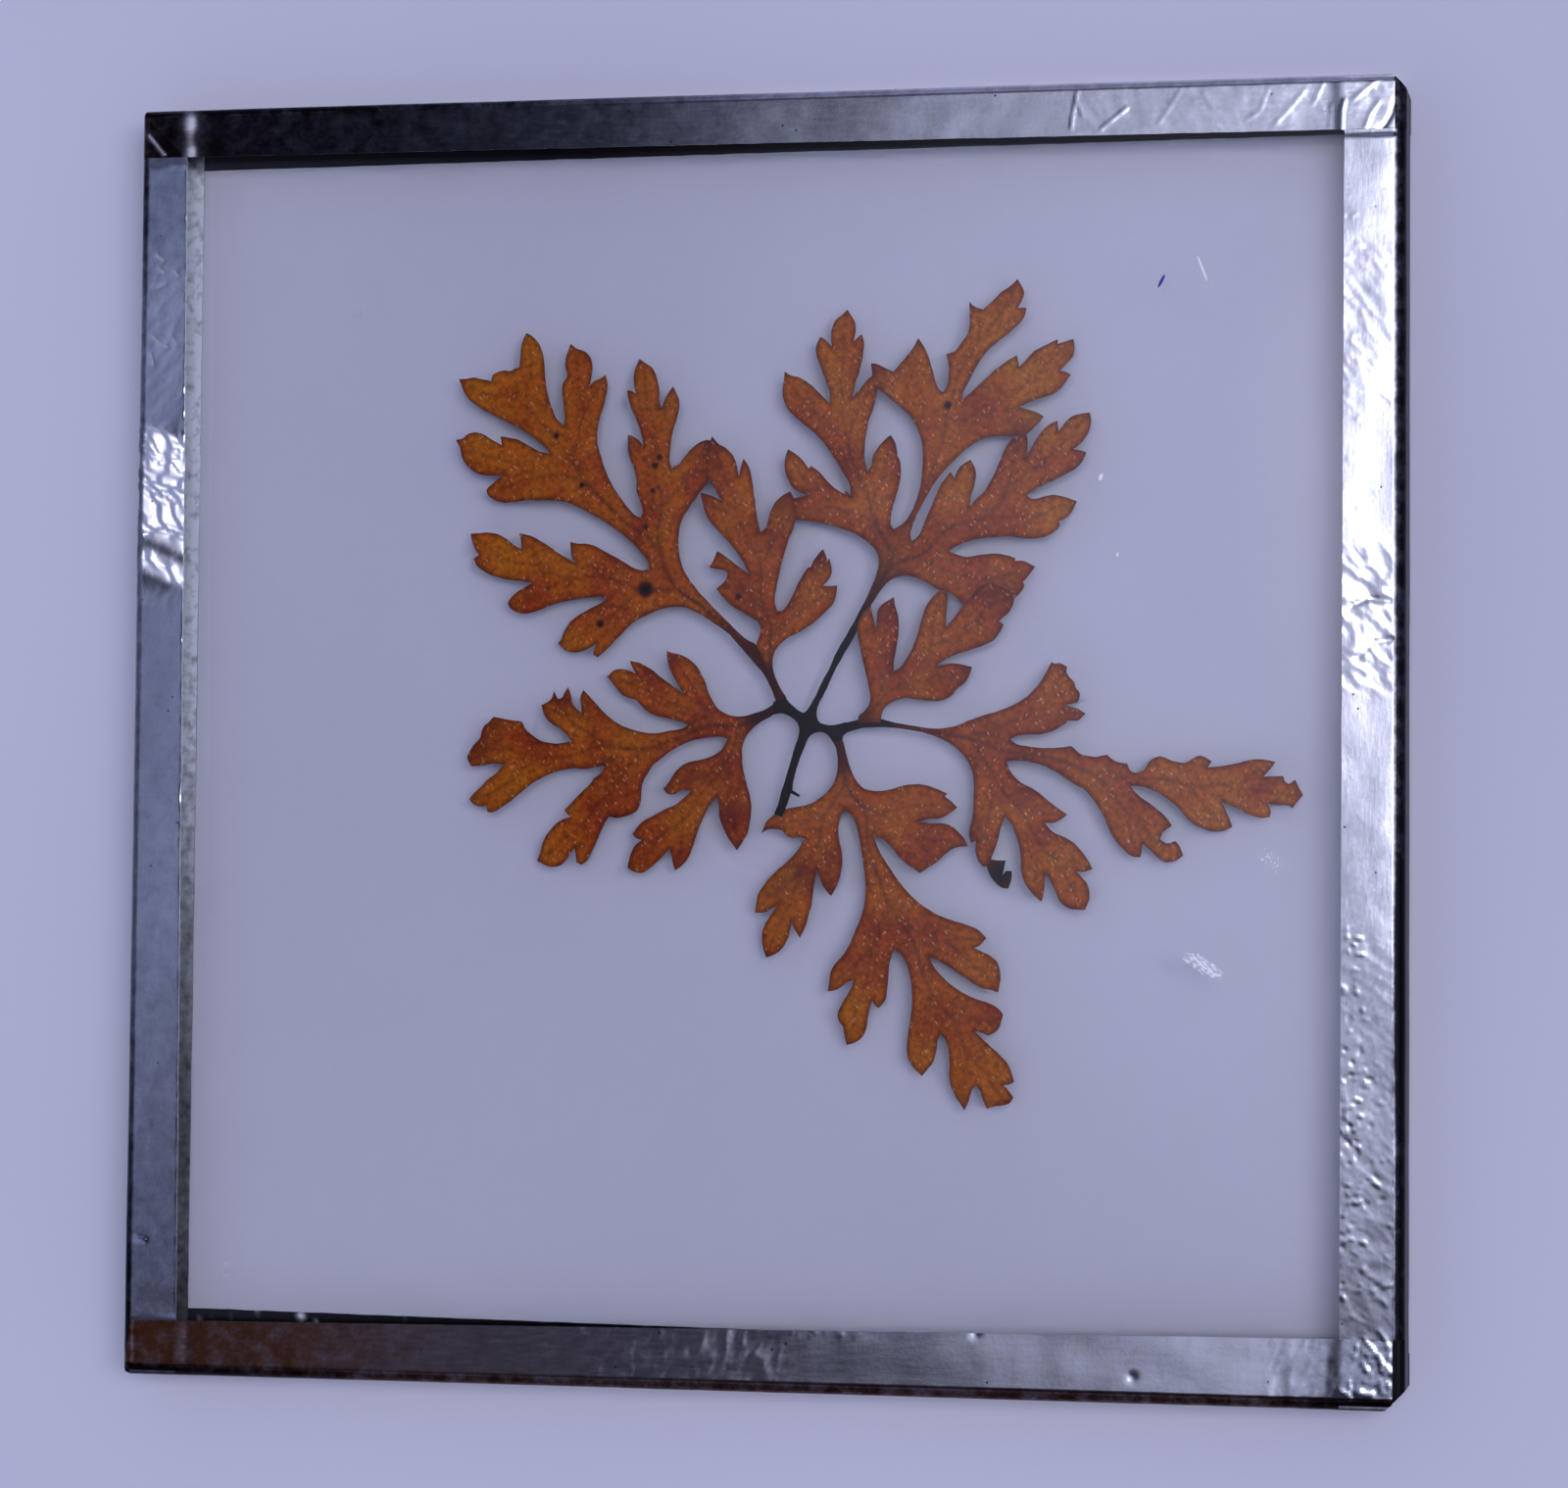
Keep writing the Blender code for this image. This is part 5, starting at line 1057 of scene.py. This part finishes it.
def pressed_leaf():
    """Dried leaf, pressed flat: thin, matt and brittle, orange-brown and finely grained, with darker veins
    and margins and near-black stalks. Short pale hairs lie on it, more so where it is dusty, coloured in as
    bright streaks that also stand for their glints, a painted highlight."""
    material, add = new_material("pressed_dried_leaf")
    place = add("TexCoord", {})["Object"]
    vein, margin, char, stain, ochre, dust = (
        add("Attribute", {}, attribute_name=name)["Fac"]
        for name in ("vein", "margin", "char", "stain", "ochre", "dust")
    )
    broad = add("TexNoise", {"Vector": place, "Scale": 260, "Detail": 4})["Fac"]
    tone = add("Math", {0: broad, 1: 1, 2: ochre}, operation="MULTIPLY_ADD")[0]
    blade = add(
        "ValToRGB", {"Fac": tone},
        stops=[(0.26, "#742004"), (0.42, "#963C02"), (0.6, "#A85402"), (0.95, "#B66E08")],
    )["Color"]
    mottle = add("TexNoise", {"Vector": place, "Scale": 2200, "Detail": 3, "Roughness": 0.8})["Fac"]
    grain = add(
        "MapRange", {"Value": mottle, "From Min": 0.36, "From Max": 0.64, "To Min": 0.55, "To Max": 1.2}
    )[0]
    mottled = add("VectorMath", {0: blade, "Scale": grain}, operation="SCALE")[0]
    colour = mottled
    for source, nothing, full, strength, tint in (
        (margin, 0.4, 0, 0.75, "#4E0F03"),
        (vein, 0, 1, 0.85, "#3C0E04"),
        (stain, 0, 1, 0.95, "#560E03"),
    ):
        share = add(
            "MapRange", {"Value": source, "From Min": nothing, "From Max": full, "To Max": strength}
        )[0]
        colour = add("Mix", {0: share, 6: colour, 7: linear(tint)}, data_type="RGBA")[2]
    # Short pale hairs, their glints painted in as bright streaks
    hairs_and_glints = None
    for length, width, turn, size, rarity in ((0.6, 0.22, 130, 0.32, 0.88), (0.46, 0.18, 65, 0.34, 0.91)):
        combed = add(
            "Mapping",
            {"Vector": place, "Rotation": (0, 0, math.radians(turn)), "Scale": (length * MM, width * MM, 1)},
            vector_type="TEXTURE",
        )[0]
        hairs = add("TexVoronoi", {"Vector": combed, "Scale": 1}, voronoi_dimensions="2D")
        bright = add("MapRange", {"Value": hairs["Distance"], "From Min": size, "From Max": 0.4 * size})[0]
        drawn = add("SeparateColor", {0: hairs["Color"]})[0]
        lit = add("MapRange", {"Value": drawn, "From Min": rarity, "From Max": 1})[0]
        these = add("Math", {0: bright, 1: lit}, operation="MULTIPLY")[0]
        if hairs_and_glints is None:
            hairs_and_glints = these
        else:
            hairs_and_glints = add("Math", {0: hairs_and_glints, 1: these}, operation="MAXIMUM")[0]
    dustiness = add("MapRange", {"Value": dust, "From Max": 0.4, "To Min": 0.45, "To Max": 0.85})[0]
    hair_and_glint_share = add("Math", {0: hairs_and_glints, 1: dustiness}, operation="MULTIPLY")[0]
    film = add("Math", {0: dust, 1: 0.15, 2: hair_and_glint_share}, operation="MULTIPLY_ADD")[0]
    dusted = add("Mix", {0: film, 6: colour, 7: linear("#F0B888")}, data_type="RGBA")[2]
    charred = dusted
    for start, end, tint in ((0, 0.6, "#4A1808"), (0.6, 1, "#140605")):
        share = add("MapRange", {"Value": char, "From Min": start, "From Max": end})[0]
        charred = add("Mix", {0: share, 6: charred, 7: linear(tint)}, data_type="RGBA")[2]
    bump = add("Bump", {"Height": mottle, "Strength": 0.4, "Distance": 0.00003})
    shader = add(
        "BsdfPrincipled",
        {"Base Color": charred, "Roughness": 0.62, "Specular IOR Level": 0.05, "Normal": bump[0]},
    )
    add("OutputMaterial", {"Surface": shader[0]})
    return material


def noise_at(places, size, seed):
    """Smooth noise at each place, with lumps of about the size given."""
    return np.array([noise.noise((x / size, y / size, seed)) for x, y in places])


def press_leaf():
    leaf = pressed_leaf()
    for number, (node, (stalk_length, darkest, dust, ochre)) in enumerate(BLADES.items()):
        draw = random.Random(100 + number)
        loops = [drawn_to_knot(smoothed_loop(loop, 3 + number), node) for loop in top_loops(node)]
        places, triangles, distance = blade_cells(loops, draw)
        vein, reach = grow_veins(places, triangles, distance, BASE_POINT)
        bottom, top = (corner.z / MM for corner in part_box(node))
        middle = (bottom + top) / 2
        wave = 0.035 * noise_at(places, 3.5, 2 + number)
        pucker = 0.012 * noise_at(places, 0.7, 8 + number)
        heights = middle + wave + (pucker - 0.015 * vein) * smooth_step(0, 0.5, distance)
        mesh = bpy.data.meshes.new("pressed_" + node)
        mesh.from_pydata(
            [(x * MM, y * MM, z * MM) for (x, y), z in zip(places, heights)], [], triangles.tolist()
        )
        piece = bpy.data.objects.new("pressed_" + node, mesh)
        bpy.context.scene.collection.objects.link(piece)
        furthest = reach[np.isfinite(reach)].max()
        reach = np.minimum(reach, furthest)
        stain = np.zeros(len(places))
        for x, y, radius, strength in STAINS:
            stain = np.maximum(stain, strength * near_spot(places, x, y, radius))
        char = darkest * (1 - smooth_step(0.35 * stalk_length, stalk_length, reach))
        for x, y, radius in BLACK_SPOTS:
            char = np.maximum(char, near_spot(places, x, y, radius, 4))
        cloud = noise_at(places, 4, 21)
        inner = smooth_step(0.1, 0.9, distance) * (1 - smooth_step(0.55, 0.95, reach / furthest))
        dust_here = np.clip(dust * (1 + 1.4 * cloud) * inner, 0, 1)
        ochre_here = ochre * smooth_step(0.45, 1, reach / furthest)
        store(mesh, {"vein": vein, "margin": distance, "char": char, "stain": stain})
        store(mesh, {"ochre": ochre_here, "dust": dust_here})
        thin = piece.vertex_groups.new(name="thickness")
        full = smooth_step(0, 0.5, distance) * 0.7 + 0.3
        for index, share in enumerate(full):
            thin.add([index], float(share), "REPLACE")
        thicken(piece, BLADE_THICKNESS, 0, "thickness")
        piece.vertex_groups.clear()
        bpy.ops.object.shade_smooth_by_angle(angle=math.radians(50))
        settle(piece, node, leaf)


press_leaf()
